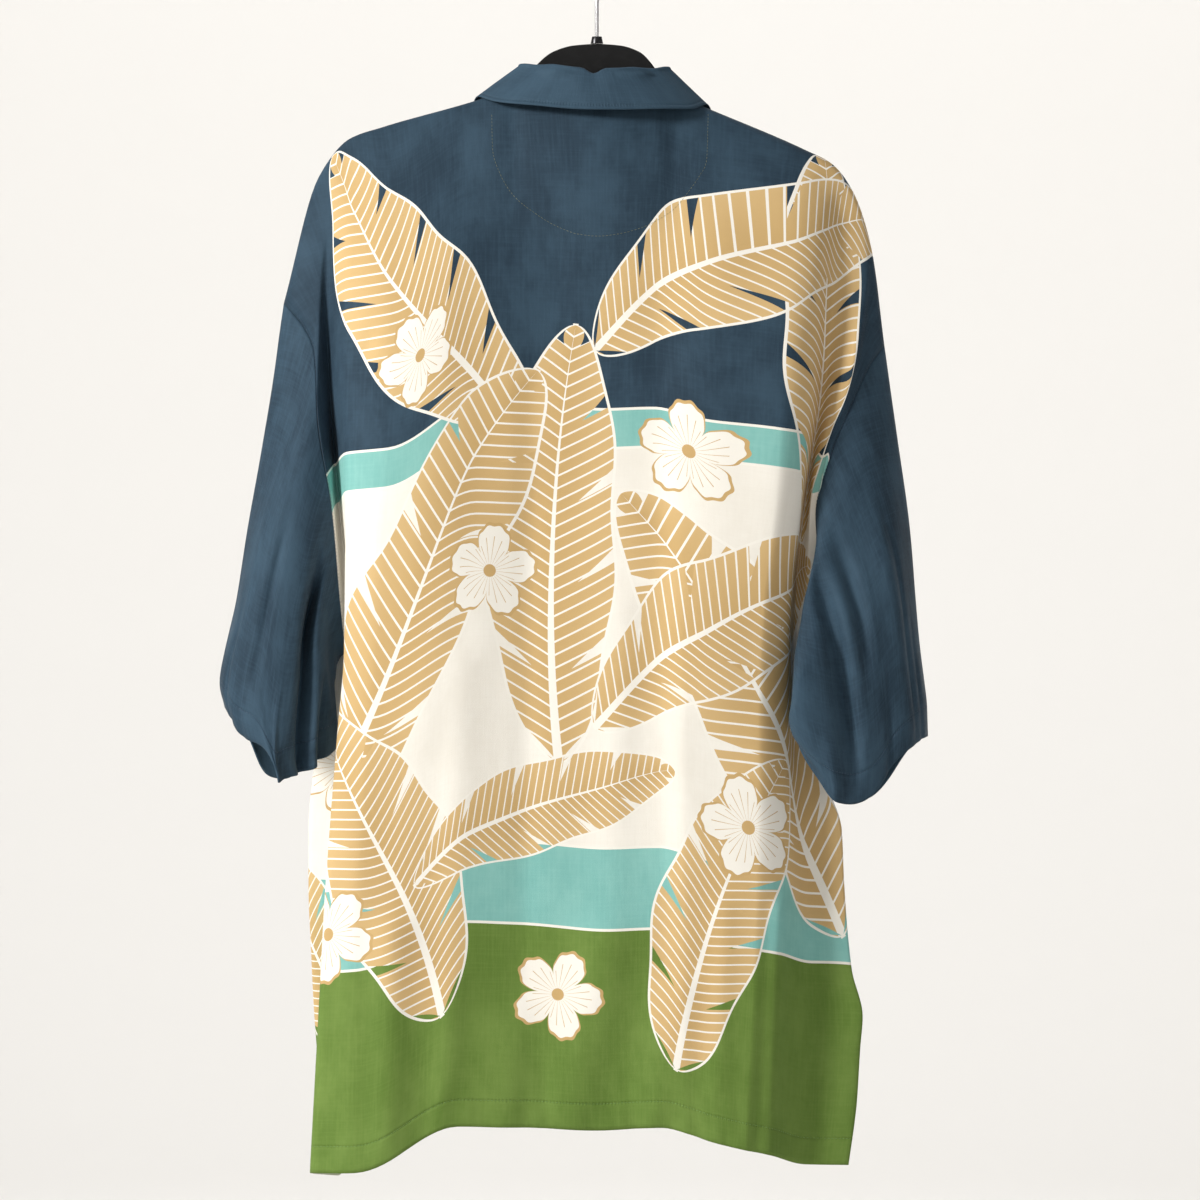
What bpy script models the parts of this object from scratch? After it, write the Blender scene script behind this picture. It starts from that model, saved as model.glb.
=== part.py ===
"""A hawaiian shirt hanging on a slim flocked hanger, with its back towards -Y.

The origin is the inside of the hook's top, where a rail holds it up.
Tables give millimetres; everything built is in metres, +Z up.
"""

import math

import bmesh
import bpy
import numpy as np
from mathutils import Vector
from mathutils.bvhtree import BVHTree

MM = 0.001

# Cloth
WALL = 1.5 * MM
SEAM_INSET = 0.2 * MM
RIDGE_RADIUS = 6.0

# Side seams: top of the armhole at the shoulder's tip, and the hem
LEFT_TIP_Z, LEFT_HEM_Z = -300.0, -1021.0
RIGHT_TIP_Z, RIGHT_HEM_Z = -335.0, -1012.0
ARMHOLE_SHARE = 0.4
ARMHOLE_HALF_DEPTH = 38.0
ARMHOLE_ROUNDING = 0.5

# Rows of the body from the shoulder ridge (0) to the hem (1)
RIDGE_ROWS = (0.0, 0.001, 0.0035, 0.007)
ARMHOLE_ROWS = (0.02, 0.045, 0.08, 0.12, 0.165, 0.21, 0.255, 0.30, 0.34, 0.37, 0.39, ARMHOLE_SHARE)
BODY_ROWS = (0.43, 0.47, 0.52, 0.58, 0.65, 0.72, 0.79, 0.86, 0.93, 1.0)
ROWS = RIDGE_ROWS + ARMHOLE_ROWS + BODY_ROWS
UNDERARM_ROW = ROWS.index(ARMHOLE_SHARE)

# Lines that run down the back from the ridge to the hem, left to right: the place
# across in the section, the cells up to the next line, the ridge's radius, and the
# stations (height z, across x, depth behind the hanger's plane).
LEFT_SEAM = ((-300, -260), (-320, -243), (-340, -234), (-400, -230), (-470, -218.5), (-560, -211),
             (-588, -208), (-600, -205), (-625, -201), (-650, -199), (-740, -203), (-890, -206),
             (-1021, -212))
RIGHT_SEAM = ((-335, 238.6), (-352, 226), (-390, 208), (-429, 192), (-476, 180), (-530, 184),
              (-590, 186), (-606, 184), (-618, 181), (-645, 177), (-700, 178), (-780, 184),
              (-890, 192), (-1012, 188))
BACK_LINES = (
    ("left_valley", 30, 2, RIDGE_RADIUS, (
        (-195, -231, 0), (-250, -217, 14), (-300, -212, 20), (-374, -207, 24), (-470, -206, 25),
        (-560, -201, 25), (-610, -194, 26), (-650, -191, 27), (-740, -197, 30), (-890, -206, 36),
        (-1020, -214, 42))),
    ("left_edge", 55, 3, RIDGE_RADIUS, (
        (-163, -205, 0), (-200, -198, 10), (-250, -195.5, 24), (-350, -194.5, 38), (-450, -199, 44),
        (-515, -205, 45), (-590, -208, 46), (-652, -213, 48), (-788, -223, 54), (-883, -228, 58),
        (-1021, -235, 62))),
    ("left_flat", 85, 3, RIDGE_RADIUS, (
        (-153.5, -178, 0), (-200, -172, 16), (-250, -170, 34), (-350, -168, 54), (-450, -172, 60),
        (-590, -180, 64), (-788, -195, 74), (-1019, -206, 86))),
    ("shoulder_left", 158, 2, RIDGE_RADIUS, (
        (-131.3, -100, 0), (-200, -98, 22), (-300, -97, 43), (-450, -99, 56), (-700, -103, 68),
        (-990, -108, 78))),
    ("neck_left", 190, 1, RIDGE_RADIUS, (
        (-121.6, -72, 0), (-200, -72, 22), (-300, -72, 42), (-450, -72, 54), (-700, -75, 66),
        (-985, -80, 74))),
    ("nape_left", 206, 3, 0.0, (
        (-127, -57, 12), (-200, -52, 31), (-300, -50, 46), (-450, -50, 56), (-700, -54, 68),
        (-984, -56, 75))),
    ("centre", 255, 3, 0.0, (
        (-135, 0, 22), (-200, 0, 36), (-300, 0, 47), (-450, 0, 56), (-700, 0, 67), (-984, 0, 74))),
    ("nape_right", 304, 1, 0.0, (
        (-131, 52, 12), (-200, 50, 31), (-300, 48, 46), (-450, 49, 56), (-700, 52, 68),
        (-984, 54, 76))),
    ("neck_right", 320, 2, RIDGE_RADIUS, (
        (-127, 66, 0), (-200, 66, 22), (-300, 68, 42), (-450, 70, 54), (-700, 72, 66),
        (-984, 74, 76))),
    ("shoulder_right", 350, 3, RIDGE_RADIUS, (
        (-137.5, 91, 0), (-200, 90, 22), (-300, 90, 43), (-450, 91, 56), (-700, 91, 67),
        (-988, 92, 78))),
    ("right_flat", 425, 3, RIDGE_RADIUS, (
        (-172, 172, 0), (-200, 168, 16), (-250, 162, 34), (-350, 153, 54), (-450, 147, 60),
        (-590, 133, 62), (-779, 130, 70), (-1002, 120, 80))),
    ("right_edge", 455, 2, RIDGE_RADIUS, (
        (-184, 195, 0), (-200, 192.6, 6), (-236, 188, 20), (-308, 180, 37), (-390, 174.5, 43),
        (-430, 171, 43), (-476, 167, 41), (-530, 161, 40), (-600, 157, 42), (-779, 153, 58),
        (-842, 149, 60), (-1004, 142, 66))),
    ("right_valley", 480, 2, RIDGE_RADIUS, (
        (-208, 213, 0), (-260, 203, 14), (-350, 191, 24), (-390, 185, 25), (-430, 178, 25),
        (-476, 171.5, 25), (-530, 165, 25), (-600, 162, 26), (-660, 163, 30), (-700, 168, 36),
        (-779, 174, 42), (-900, 178, 48), (-1010, 172, 54))),
    ("right_lobe", 500, 2, RIDGE_RADIUS, (
        (-255, 228, 0), (-300, 222, 12), (-350, 211, 24), (-390, 196, 28), (-430, 185, 29),
        (-476, 175.5, 29), (-530, 174, 26), (-600, 172, 18), (-660, 171, 18), (-700, 180, 24),
        (-735, 197, 30), (-780, 202, 32), (-850, 209, 36), (-889, 219, 38), (-915, 217, 38),
        (-960, 214, 40), (-1011, 207, 42))),
)
SEAM_TO_SEAM = 525
SIDE_CELLS = 2

# The same for each front, from its side seam to its front edge, depths forward.
FRONT_LEFT_LINES = (
    ("front_valley", 30, 2, RIDGE_RADIUS, (
        (-195, -231, 0), (-250, -218, 14), (-350, -209, 22), (-470, -206, 24), (-560, -201, 25),
        (-610, -194, 26), (-650, -191, 27), (-740, -200, 28), (-850, -206, 34), (-1015, -212, 38))),
    ("front_lobe", 55, 3, RIDGE_RADIUS, (
        (-163, -205, 0), (-250, -199, 24), (-350, -198, 36), (-470, -202, 40), (-600, -206, 42),
        (-690, -213, 44), (-740, -236, 44), (-787, -236, 46), (-838, -231, 48), (-883, -226, 50),
        (-1012, -223, 56))),
    ("front_flat", 85, 2, RIDGE_RADIUS, (
        (-153.5, -178, 0), (-250, -172, 32), (-350, -172, 50), (-600, -176, 58), (-780, -196, 64),
        (-1005, -194, 74))),
    ("breast", 160, 3, RIDGE_RADIUS, (
        (-133, -105, 0), (-200, -98, 22), (-300, -94, 40), (-450, -92, 52), (-700, -95, 62),
        (-988, -98, 70))),
    ("front_edge", 270, 0, RIDGE_RADIUS, (
        (-121.6, -72, 0), (-140, -62, 10), (-170, -44, 22), (-205, -20, 32), (-235, 10, 38),
        (-260, 15, 42), (-450, 15, 54), (-700, 15, 64), (-980, 15, 70))),
)
FRONT_RIGHT_LINES = (
    ("front_lobe_back", 25, 2, RIDGE_RADIUS, (
        (-255, 228, 0), (-300, 222, 12), (-350, 211, 24), (-390, 196, 28), (-430, 184, 29),
        (-476, 174, 29), (-530, 173, 26), (-600, 171, 18), (-660, 170, 18), (-700, 178, 22),
        (-780, 196, 28), (-889, 206, 32), (-1011, 200, 36))),
    ("front_valley", 45, 2, RIDGE_RADIUS, (
        (-208, 213, 0), (-260, 204, 14), (-350, 192, 22), (-430, 177, 24), (-476, 168, 25),
        (-530, 164, 25), (-600, 161, 26), (-660, 162, 28), (-700, 168, 30), (-900, 180, 38),
        (-1010, 178, 42))),
    ("front_lobe", 70, 3, RIDGE_RADIUS, (
        (-184, 195, 0), (-236, 190, 20), (-308, 182, 32), (-430, 171, 40), (-530, 162, 41),
        (-660, 162, 44), (-779, 184, 50), (-1004, 186, 58))),
    ("front_flat", 100, 3, RIDGE_RADIUS, (
        (-172, 172, 0), (-250, 164, 32), (-350, 154, 50), (-600, 138, 58), (-779, 154, 66),
        (-1002, 156, 74))),
    ("breast", 175, 2, RIDGE_RADIUS, (
        (-140, 98, 0), (-200, 92, 22), (-300, 90, 40), (-450, 90, 52), (-700, 92, 62),
        (-988, 96, 70))),
    ("front_edge", 285, 0, RIDGE_RADIUS, (
        (-127, 66, 0), (-145, 56, 9), (-172, 40, 19), (-205, 16, 29), (-235, -10, 35),
        (-260, -15, 38), (-450, -15, 50.5), (-700, -15, 60.5), (-980, -15, 66.5))),
)

# Soft folds pressed into a panel: from (x, z) to (x, z), half width, height out.
BACK_FOLDS = (
    ("hem_diagonal", (5, -830), (-20, -960), 22, 5.0),
    ("hem_right", (64, -870), (50, -960), 20, 5.0),
    ("hem_left", (-168, -820), (-172, -1000), 16, 6.0),
    ("blade_left", (-120, -260), (-140, -640), 30, 4.0),
    ("blade_right", (95, -250), (95, -620), 28, 4.0),
    ("waist_dip", (-60, -480), (-70, -860), 34, -4.0),
)
FRONT_LEFT_FOLDS = (
    ("chest", (-110, -300), (-130, -700), 30, 5.0),
    ("skirt", (-105, -620), (-112, -990), 28, -6.0),
)
FRONT_RIGHT_FOLDS = (
    ("chest", (100, -300), (110, -720), 30, 5.0),
    ("skirt", (104, -600), (108, -990), 28, -6.0),
)

# Sleeves: stations along the sleeve (0 armhole, 1 cuff) of the shoulder line and of
# the underarm line (x, z), of the half depth and of the cuff's droop between them.
SLEEVE_STATIONS = (0.0, 0.25, 0.5, 0.75, 0.93, 1.0)
LEFT_SLEEVE = {
    "top": ((-260, -300), (-272, -384), (-287, -470), (-299, -545), (-313, -615), (-309, -635)),
    "under": ((-208, -588), (-217, -600), (-222, -617), (-222, -637), (-220, -655), (-220, -663)),
    "half_depth": (38, 50, 58, 62, 64, 64),
    "droop": (0, 4, 12, 30, 44, 48),
    "phase": 5.0,
}
RIGHT_SLEEVE = {
    "top": ((238.6, -335), (250, -415), (260, -490), (267, -575), (274, -640), (274.6, -659)),
    "under": ((184, -606), (195, -618), (200, -634), (198, -650), (193, -664), (190, -668)),
    "half_depth": (38, 50, 60, 64, 66, 66),
    "droop": (0, 4, 12, 30, 46, 50),
    "phase": 14.0,
}
SLEEVE_RINGS = 12
SLEEVE_LEAN = 0.35
CREASE_FADE = 0.3
# Creases and bulges of a sleeve: angle round it from the shoulder line at the
# armhole and at the cuff (90 faces the back), half width in degrees, height out,
# and the share of the sleeve it starts and ends at.
LEFT_CREASES = (
    ("long_crease", 108, 128, 9, -13.0, 0.12, 1.25),
    ("drooping_fold", 140, 150, 16, 8.0, 0.2, 0.95),
    ("outer_face", 40, 45, 24, 4.0, 0.2, 1.1),
    ("front_crease", 250, 240, 12, -10.0, 0.15, 1.1),
)
RIGHT_CREASES = (
    ("inner_fold", 138, 142, 26, 26.0, 0.2, 1.35),
    ("long_crease", 104, 100, 8, -9.0, 0.1, 1.0),
    ("short_crease", 84, 84, 7, -5.0, 0.1, 0.75),
    ("pale_ridge", 55, 52, 12, 5.0, 0.2, 1.2),
    ("front_crease", 250, 245, 12, -10.0, 0.15, 1.1),
)

# Collar: from the left front end (-1) over the left shoulder seam (-0.5), the centre
# back (0) and the right shoulder seam (0.5) to the right front end (1).
# The fold's place from the neck seam and the outer edge's own place (x, y, z).
COLLAR_WALL = 1.6 * MM
COLLAR_FOLD_RADIUS = 2.0
COLLAR_END_ROW = 6
COLLAR_STATIONS = (
    # share, fold from the seam (x, y, z), outer edge (x, y, z)
    (-1.0, (5, 1, 7), (-86, 38, -198)),
    (-0.75, (8, 0, 12), (-107, 19, -160)),
    (-0.5, (11, -1, 18), (-99, 0, -128.5)),
    (-0.36, (9, 2, 22), (-84, -17, -134)),
    (-0.2, (3, 3, 26), (-48, -30, -138.5)),
    (0.0, (0, 3, 27), (0, -36, -142)),
    (0.2, (-3, 3, 26), (48, -30, -141)),
    (0.36, (-7, 2, 23), (78, -17, -140)),
    (0.5, (-9, -1, 21), (91, 0, -135)),
    (0.75, (-8, 0, 13), (100, 19, -166)),
    (1.0, (-5, 1, 7), (82, 38, -202)),
)
COLLAR_STAND_ROWS = 3
COLLAR_FOLD_TURNS = (0, 60, 120, 180)
COLLAR_FALL_ROWS = 4
COLLAR_CLEARANCE = 1.3 * MM

# Buttons down the front lap
BUTTON_COUNT = 6
BUTTON_RADIUS = 5.75 * MM
BUTTON_THICKNESS = 2.6 * MM
BUTTON_TOP_Z = -250 * MM
BUTTON_SPACING = 108 * MM
BUTTON_GAP = 0.35 * MM
BUTTON_SIDES = 20
BUTTON_SOFTENING = 0.25
BUTTON_PROBES = 12
PROBE_START_Y = 300 * MM
PROBE_LIFT = 20 * MM

# Hanger
HANGER_THICKNESS = 6.0 * MM
HANGER_BEVEL = 1.8 * MM
HANGER_UNDER_RIDGE = 2.15
HANGER_ARM_HEIGHT = 20.0
HANGER_LEFT_END = -204.0
HANGER_RIGHT_END = 194.0
# The rounded tip: out past the end, and down from the arm's top as a share of its height
HANGER_TIP = ((3.5, 0.35), (2.5, 0.75))
HUMP_CLEAR_LEFT, HUMP_CLEAR_RIGHT = 9.0, 8.0
HUMP = ((-63, -127), (-56, -115), (-47, -104), (-33, -91), (-18, -86), (0, -84.6),
        (18, -86), (33, -91), (46, -105), (53, -117), (58, -131))
HUMP_UNDERSIDE = ((40, -134), (22, -121), (0, -115), (-22, -120), (-42, -132))
FERRULE_RADIUS = 5.3 * MM
FERRULE_HEIGHT = 5.8 * MM
FERRULE_SEAT_Z = -84.3 * MM
FERRULE_SOCKET = 4.0 * MM
FERRULE_RIM = 0.82
FERRULE_CHAMFER = 0.15
FERRULE_SIDES = 20
MERGE_DISTANCE = 0.1 * MM
WIRE_RADIUS = 1.75 * MM
WIRE_SLACK = 0.3 * MM
LOOP_RADIUS = 21.0 * MM
LOOP_START_ANGLE, LOOP_TIP_ANGLE, LOOP_STEP_ANGLE = -38, 205, 9
STEM_BEND_REACH = 13 * MM
STEM_TOP_Z = -52.0 * MM

COLOURS = {
    "navy": (0.045, 0.090, 0.155),
    "cream": (0.86, 0.83, 0.76),
    "aqua": (0.21, 0.56, 0.50),
    "green": (0.16, 0.32, 0.06),
    "black": (0.012, 0.012, 0.013),
    "steel": (0.62, 0.62, 0.64),
    "shell": (0.72, 0.66, 0.55),
}


# ---------------------------------------------------------------- curves


def smooth_through(places, values, at):
    """Values at the places `at`, on a smooth curve that never overshoots its stations."""
    places = np.asarray(places, float)
    values = np.asarray(values, float).reshape(len(places), -1)
    at = np.clip(np.atleast_1d(at), places[0], places[-1])
    steps = np.diff(places)[:, None]
    rises = np.diff(values, axis=0) / steps
    slopes = np.zeros_like(values)
    slopes[0], slopes[-1] = rises[0], rises[-1]
    before, after = rises[:-1], rises[1:]
    agree = before * after > 0
    weight_a = 2 * steps[1:] + steps[:-1]
    weight_b = steps[1:] + 2 * steps[:-1]
    with np.errstate(divide="ignore", invalid="ignore"):
        mean = (weight_a + weight_b) / (weight_a / before + weight_b / after)
    slopes[1:-1] = np.where(agree, mean, 0.0)
    cell = np.clip(np.searchsorted(places, at, side="right") - 1, 0, len(places) - 2)
    width = steps[cell]
    t = ((at - places[cell])[:, None]) / width
    return (values[cell] * (2 * t**3 - 3 * t**2 + 1) + slopes[cell] * width * (t**3 - 2 * t**2 + t)
            + values[cell + 1] * (3 * t**2 - 2 * t**3) + slopes[cell + 1] * width * (t**3 - t**2))


def smoothstep(low, high, value):
    share = np.clip((value - low) / (high - low), 0.0, 1.0)
    return share * share * (3 - 2 * share)


def unit(vectors):
    length = np.linalg.norm(vectors, axis=-1, keepdims=True)
    return vectors / np.maximum(length, 1e-12)


# ---------------------------------------------------------------- body panels


def line_points(stations, ridge_radius):
    """One line of a panel at every row: (across, depth, height) in millimetres."""
    table = np.array(stations, float)
    top, hem = table[0, 0], table[-1, 0]
    heights = top + np.array(ROWS) * (hem - top)
    across, depth = smooth_through(-table[:, 0], table[:, 1:], -heights).T
    below = top - heights
    if ridge_radius:
        depth = depth + ridge_radius * np.sqrt(
            1 - (1 - np.clip(below / ridge_radius, 0, 1)) ** 2)
    return np.stack([across, depth, heights], axis=1)


def seam_points(stations, tip_z, hem_z):
    """A side seam, opened above the underarm to the armhole's half depth."""
    table = np.array(stations, float)
    heights = tip_z + np.array(ROWS) * (hem_z - tip_z)
    across = smooth_through(-table[:, 0], table[:, 1], -heights)[:, 0]
    share = np.clip(np.array(ROWS) / ARMHOLE_SHARE, 0, 1)
    depth = ARMHOLE_HALF_DEPTH * np.clip(np.sin(np.pi * share), 0, 1) ** ARMHOLE_ROUNDING
    depth[UNDERARM_ROW:] = 0.0
    return np.stack([across, depth, heights], axis=1)


def panel_grid(lines, places, cells, folds, facing):
    """The outer points of a panel, rows by columns. `facing` is -1 for the back."""
    columns = [np.linspace(a, b, n, endpoint=False)
               for a, b, n in zip(places[:-1], places[1:], cells)]
    columns = np.concatenate(columns + [[places[-1]]])
    grid = np.stack([smooth_through(places, [line[row] for line in lines], columns)
                     for row in range(len(ROWS))])
    lift = sum(fold_height(grid, *fold[1:]) for fold in folds)
    lift[0] = 0.0
    lift[:, 0] = 0.0
    if facing < 0:
        lift[:, -1] = 0.0
    grid[..., 1] = (grid[..., 1] + lift) * facing
    return grid * MM


def fold_height(grid, start, end, half_width, height):
    """How far a soft fold lifts each point: a ridge that fades at both ends."""
    start, end = np.array(start, float), np.array(end, float)
    run = end - start
    place = grid[..., [0, 2]] - start
    along = (place @ run) / (run @ run)
    nearest = np.clip(along, 0, 1)[..., None] * run
    away = np.linalg.norm(place - nearest, axis=-1) / half_width
    return height * np.exp(-away**2)


def back_grid():
    lines = [seam_points(LEFT_SEAM, LEFT_TIP_Z, LEFT_HEM_Z)]
    lines += [line_points(stations, radius) for *_, radius, stations in BACK_LINES]
    lines.append(seam_points(RIGHT_SEAM, RIGHT_TIP_Z, RIGHT_HEM_Z))
    places = [0] + [line[1] for line in BACK_LINES] + [SEAM_TO_SEAM]
    cells = [SIDE_CELLS] + [line[2] for line in BACK_LINES]
    return panel_grid(lines, places, cells, BACK_FOLDS, -1)


def column_of(name):
    """The column of the back that a named line runs down."""
    names = [line[0] for line in BACK_LINES]
    return SIDE_CELLS + sum(line[2] for line in BACK_LINES[:names.index(name)])


def front_grid(seam, tip_z, hem_z, table, folds, shoulder_row):
    """A front panel, whose top row is the back's shoulder row and its side the back's."""
    lines = [seam_points(seam, tip_z, hem_z)]
    lines += [line_points(stations, radius) for *_, radius, stations in table]
    places = [0] + [line[1] for line in table]
    cells = [SIDE_CELLS] + [line[2] for line in table[:-1]]
    grid = panel_grid(lines, places, cells, folds, 1)
    fade = 1 - smoothstep(RIDGE_ROWS[-1], ARMHOLE_ROWS[3], np.array(ROWS))
    return grid + (shoulder_row - grid[0]) * fade[:, None, None]


# ---------------------------------------------------------------- sleeves


def sleeve_grid(back_side, front_side, table, creases):
    """Rings from the armhole to the cuff; ring 0 is the armhole of back and front."""
    armhole = np.concatenate([back_side[:UNDERARM_ROW + 1], front_side[UNDERARM_ROW - 1:0:-1]])
    steps = np.linalg.norm(np.diff(armhole, axis=0, append=armhole[:1]), axis=1)
    angle = 2 * np.pi * np.concatenate([[0], np.cumsum(steps)[:-1]]) / steps.sum()
    half = angle[UNDERARM_ROW]
    angle = np.where(angle <= half, angle * np.pi / half,
                     np.pi + (angle - half) * np.pi / (2 * np.pi - half))
    shares = np.linspace(0, 1, SLEEVE_RINGS)
    rings = np.stack([sleeve_ring(table, creases, share, angle) for share in shares])
    fit = (armhole - rings[0])[None] * ((1 - shares) ** 2)[:, None, None]
    return rings + fit


def sleeve_ring(table, creases, share, angle):
    top = smooth_through(SLEEVE_STATIONS, table["top"], share)[0]
    under = smooth_through(SLEEVE_STATIONS, table["under"], share)[0]
    half_depth = smooth_through(SLEEVE_STATIONS, table["half_depth"], share)[0, 0]
    droop = smooth_through(SLEEVE_STATIONS, table["droop"], share)[0, 0]
    centre, arm = (top + under) / 2, (top - under) / 2
    cosine, sine = np.cos(angle), np.sin(angle)
    lowest = np.sin(angle - math.radians(table["phase"]) * np.sign(sine)) ** 2
    points = np.stack([centre[0] + arm[0] * cosine, -half_depth * sine,
                       centre[1] + arm[1] * cosine - droop * lowest * np.abs(sine)], axis=1)
    outward = unit(np.stack([arm[0] * cosine / (arm @ arm) ** 0.5, -sine,
                             SLEEVE_LEAN * arm[1] * cosine / (arm @ arm) ** 0.5], axis=1))
    for _, armhole_angle, cuff_angle, half_width, height, start, end in creases:
        middle = armhole_angle + share * (cuff_angle - armhole_angle)
        away = (np.degrees(angle) - middle + 180) % 360 - 180
        strength = (smoothstep(start, start + CREASE_FADE, share)
                    * (1 - smoothstep(end - CREASE_FADE, end, share)))
        points += outward * (height * strength * np.exp(-(away / half_width) ** 2))[:, None]
    return points * MM


# ---------------------------------------------------------------- collar


def collar_grid(neck, tree):
    """The collar's under side from the neck seam over the fold to its outer edge."""
    steps = np.linalg.norm(np.diff(neck, axis=0), axis=1)
    length = np.concatenate([[0], np.cumsum(steps)])
    marks = [length[at] for at in (0, COLLAR_END_ROW, -1 - COLLAR_END_ROW, -1)]
    share = np.interp(length, marks, (-1, -0.5, 0.5, 1))
    stations = np.array([row[0] for row in COLLAR_STATIONS])
    lift = smooth_through(stations, [row[1] for row in COLLAR_STATIONS], share) * MM
    outer = smooth_through(stations, [row[2] for row in COLLAR_STATIONS], share) * MM
    fold = neck + lift
    rows = [neck + lift * step / COLLAR_STAND_ROWS for step in range(COLLAR_STAND_ROWS)]
    radius = COLLAR_FOLD_RADIUS * MM
    away = unit((outer - fold) * (1, 1, 0))
    up = np.array([0, 0, 1.0])
    for turn in COLLAR_FOLD_TURNS:
        bend = math.radians(turn)
        rows.append(fold + away * radius * (1 - math.cos(bend)) + up * radius * math.sin(bend))
    start = fold + away * 2 * radius
    for step in range(1, COLLAR_FALL_ROWS + 1):
        portion = step / COLLAR_FALL_ROWS
        rows.append(stand_off(start + (outer - start) * portion, tree))
    return np.stack(rows)


def stand_off(points, tree):
    """The points, each moved out until it clears the panels beneath."""
    moved = []
    for point in points:
        place, normal, _, _ = tree.find_nearest(Vector(point))
        height = (Vector(point) - place).dot(normal)
        moved.append(np.array(point) + np.array(normal) * max(0.0, COLLAR_CLEARANCE - height))
    return np.array(moved)


def surface_tree(grids):
    """A search tree over the outer faces of several panels."""
    points, faces = [], []
    for grid, flipped in grids:
        rows, columns = grid.shape[:2]
        first = len(points)
        points += [tuple(point) for point in grid.reshape(-1, 3)]
        for row in range(rows - 1):
            for column in range(columns - 1):
                corner = first + row * columns + column
                face = (corner, corner + columns, corner + columns + 1, corner + 1)
                faces.append(face[::-1] if flipped else face)
    return BVHTree.FromPolygons(points, faces)


# ---------------------------------------------------------------- walls


def grid_normals(grid, closed, flipped):
    """Outward normals at the grid's points."""
    if closed:
        around = np.roll(grid, -1, axis=1) - np.roll(grid, 1, axis=1)
    else:
        around = np.gradient(grid, axis=1)
    normals = unit(np.cross(np.gradient(grid, axis=0), around))
    return -normals if flipped else normals


def share_normals(panels):
    """Points that several panels have in common get one normal, so their walls are parallel.

    Body, sleeve and collar count equally where they meet, however many panels each has there.
    """
    sums = {}
    for panel in panels:
        for point, normal in zip(panel["grid"].reshape(-1, 3), panel["normals"].reshape(-1, 3)):
            groups = sums.setdefault(tuple(np.round(point, 6)), {})
            groups[panel["group"]] = groups.get(panel["group"], 0) + normal
    for panel in panels:
        flat = panel["grid"].reshape(-1, 3)
        shared = [sum(unit(total) for total in sums[tuple(np.round(point, 6))].values())
                  for point in flat]
        panel["normals"] = unit(np.array(shared)).reshape(panel["grid"].shape)


def inset_edges(grid, normals, closed):
    """Pulls the free edges in along the cloth, so seams stay open by twice the inset."""
    result = grid.copy()
    for axis in ((0,) if closed else (0, 1)):
        for edge, inner in ((0, 1), (-1, -2)):
            here = np.take(grid, edge, axis=axis)
            towards = np.take(grid, inner, axis=axis) - here
            normal = np.take(normals, edge, axis=axis)
            towards -= normal * np.sum(towards * normal, axis=1, keepdims=True)
            along = unit(np.gradient(here, axis=0))
            towards -= along * np.sum(towards * along, axis=1, keepdims=True)
            shift = unit(towards) * SEAM_INSET
            if axis == 0:
                result[edge] += shift
            else:
                result[:, edge] += shift
    return result


def wall_mesh(name, panel):
    """A closed wall of even thickness inside the panel's outer points."""
    closed, thickness = panel["closed"], panel["thickness"]
    outer = inset_edges(panel["grid"], panel["normals"], closed)
    inner = outer - panel["normals"] * thickness
    rows, columns = outer.shape[:2]
    count = rows * columns
    points = np.concatenate([outer.reshape(-1, 3), inner.reshape(-1, 3)])
    faces = []

    def corner(row, column, side):
        return side * count + row * columns + column % columns

    def add(quad, side):
        diagonal = np.linalg.norm(points[quad[0] % count] - points[quad[2] % count])
        other = np.linalg.norm(points[quad[1] % count] - points[quad[3] % count])
        turn = 0 if diagonal <= other else 1
        a, b, c, d = quad[turn:] + quad[:turn]
        for face in ((a, b, c), (a, c, d)):
            faces.append(face if side == 0 else face[::-1])

    def rim(start, end):
        across = np.linalg.norm(points[start] - points[end + count])
        other = np.linalg.norm(points[end] - points[start + count])
        if across <= other:
            faces.extend([(start, end, end + count), (start, end + count, start + count)])
        else:
            faces.extend([(start, end, start + count), (end, end + count, start + count)])

    last = columns if closed else columns - 1
    for row in range(rows - 1):
        for column in range(last):
            for side in (0, 1):
                add([corner(row, column, side), corner(row + 1, column, side),
                     corner(row + 1, column + 1, side), corner(row, column + 1, side)], side)
    for column in range(last):
        rim(corner(0, column, 0), corner(0, column + 1, 0))
        rim(corner(rows - 1, column + 1, 0), corner(rows - 1, column, 0))
    if not closed:
        for row in range(rows - 1):
            rim(corner(row + 1, 0, 0), corner(row, 0, 0))
            rim(corner(row, columns - 1, 0), corner(row + 1, columns - 1, 0))
    if panel["flipped"]:
        faces = [face[::-1] for face in faces]
    mesh = bpy.data.meshes.new(name)
    mesh.from_pydata(points.tolist(), [], faces)
    mesh.validate()
    mesh.shade_smooth()
    return mesh


# ---------------------------------------------------------------- scene


def clear_scene():
    for obj in list(bpy.data.objects):
        bpy.data.objects.remove(obj, do_unlink=True)


def material(name, colour, roughness, metallic=0.0):
    made = bpy.data.materials.new(name)
    made.use_nodes = True
    shader = made.node_tree.nodes["Principled BSDF"]
    shader.inputs["Base Color"].default_value = (*COLOURS[colour], 1.0)
    shader.inputs["Roughness"].default_value = roughness
    shader.inputs["Metallic"].default_value = metallic
    return made


def place(name, data, collection, finish):
    obj = bpy.data.objects.new(name, data)
    collection.objects.link(obj)
    data.materials.clear()
    data.materials.append(finish)
    return obj


# ---------------------------------------------------------------- buttons and hanger


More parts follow.
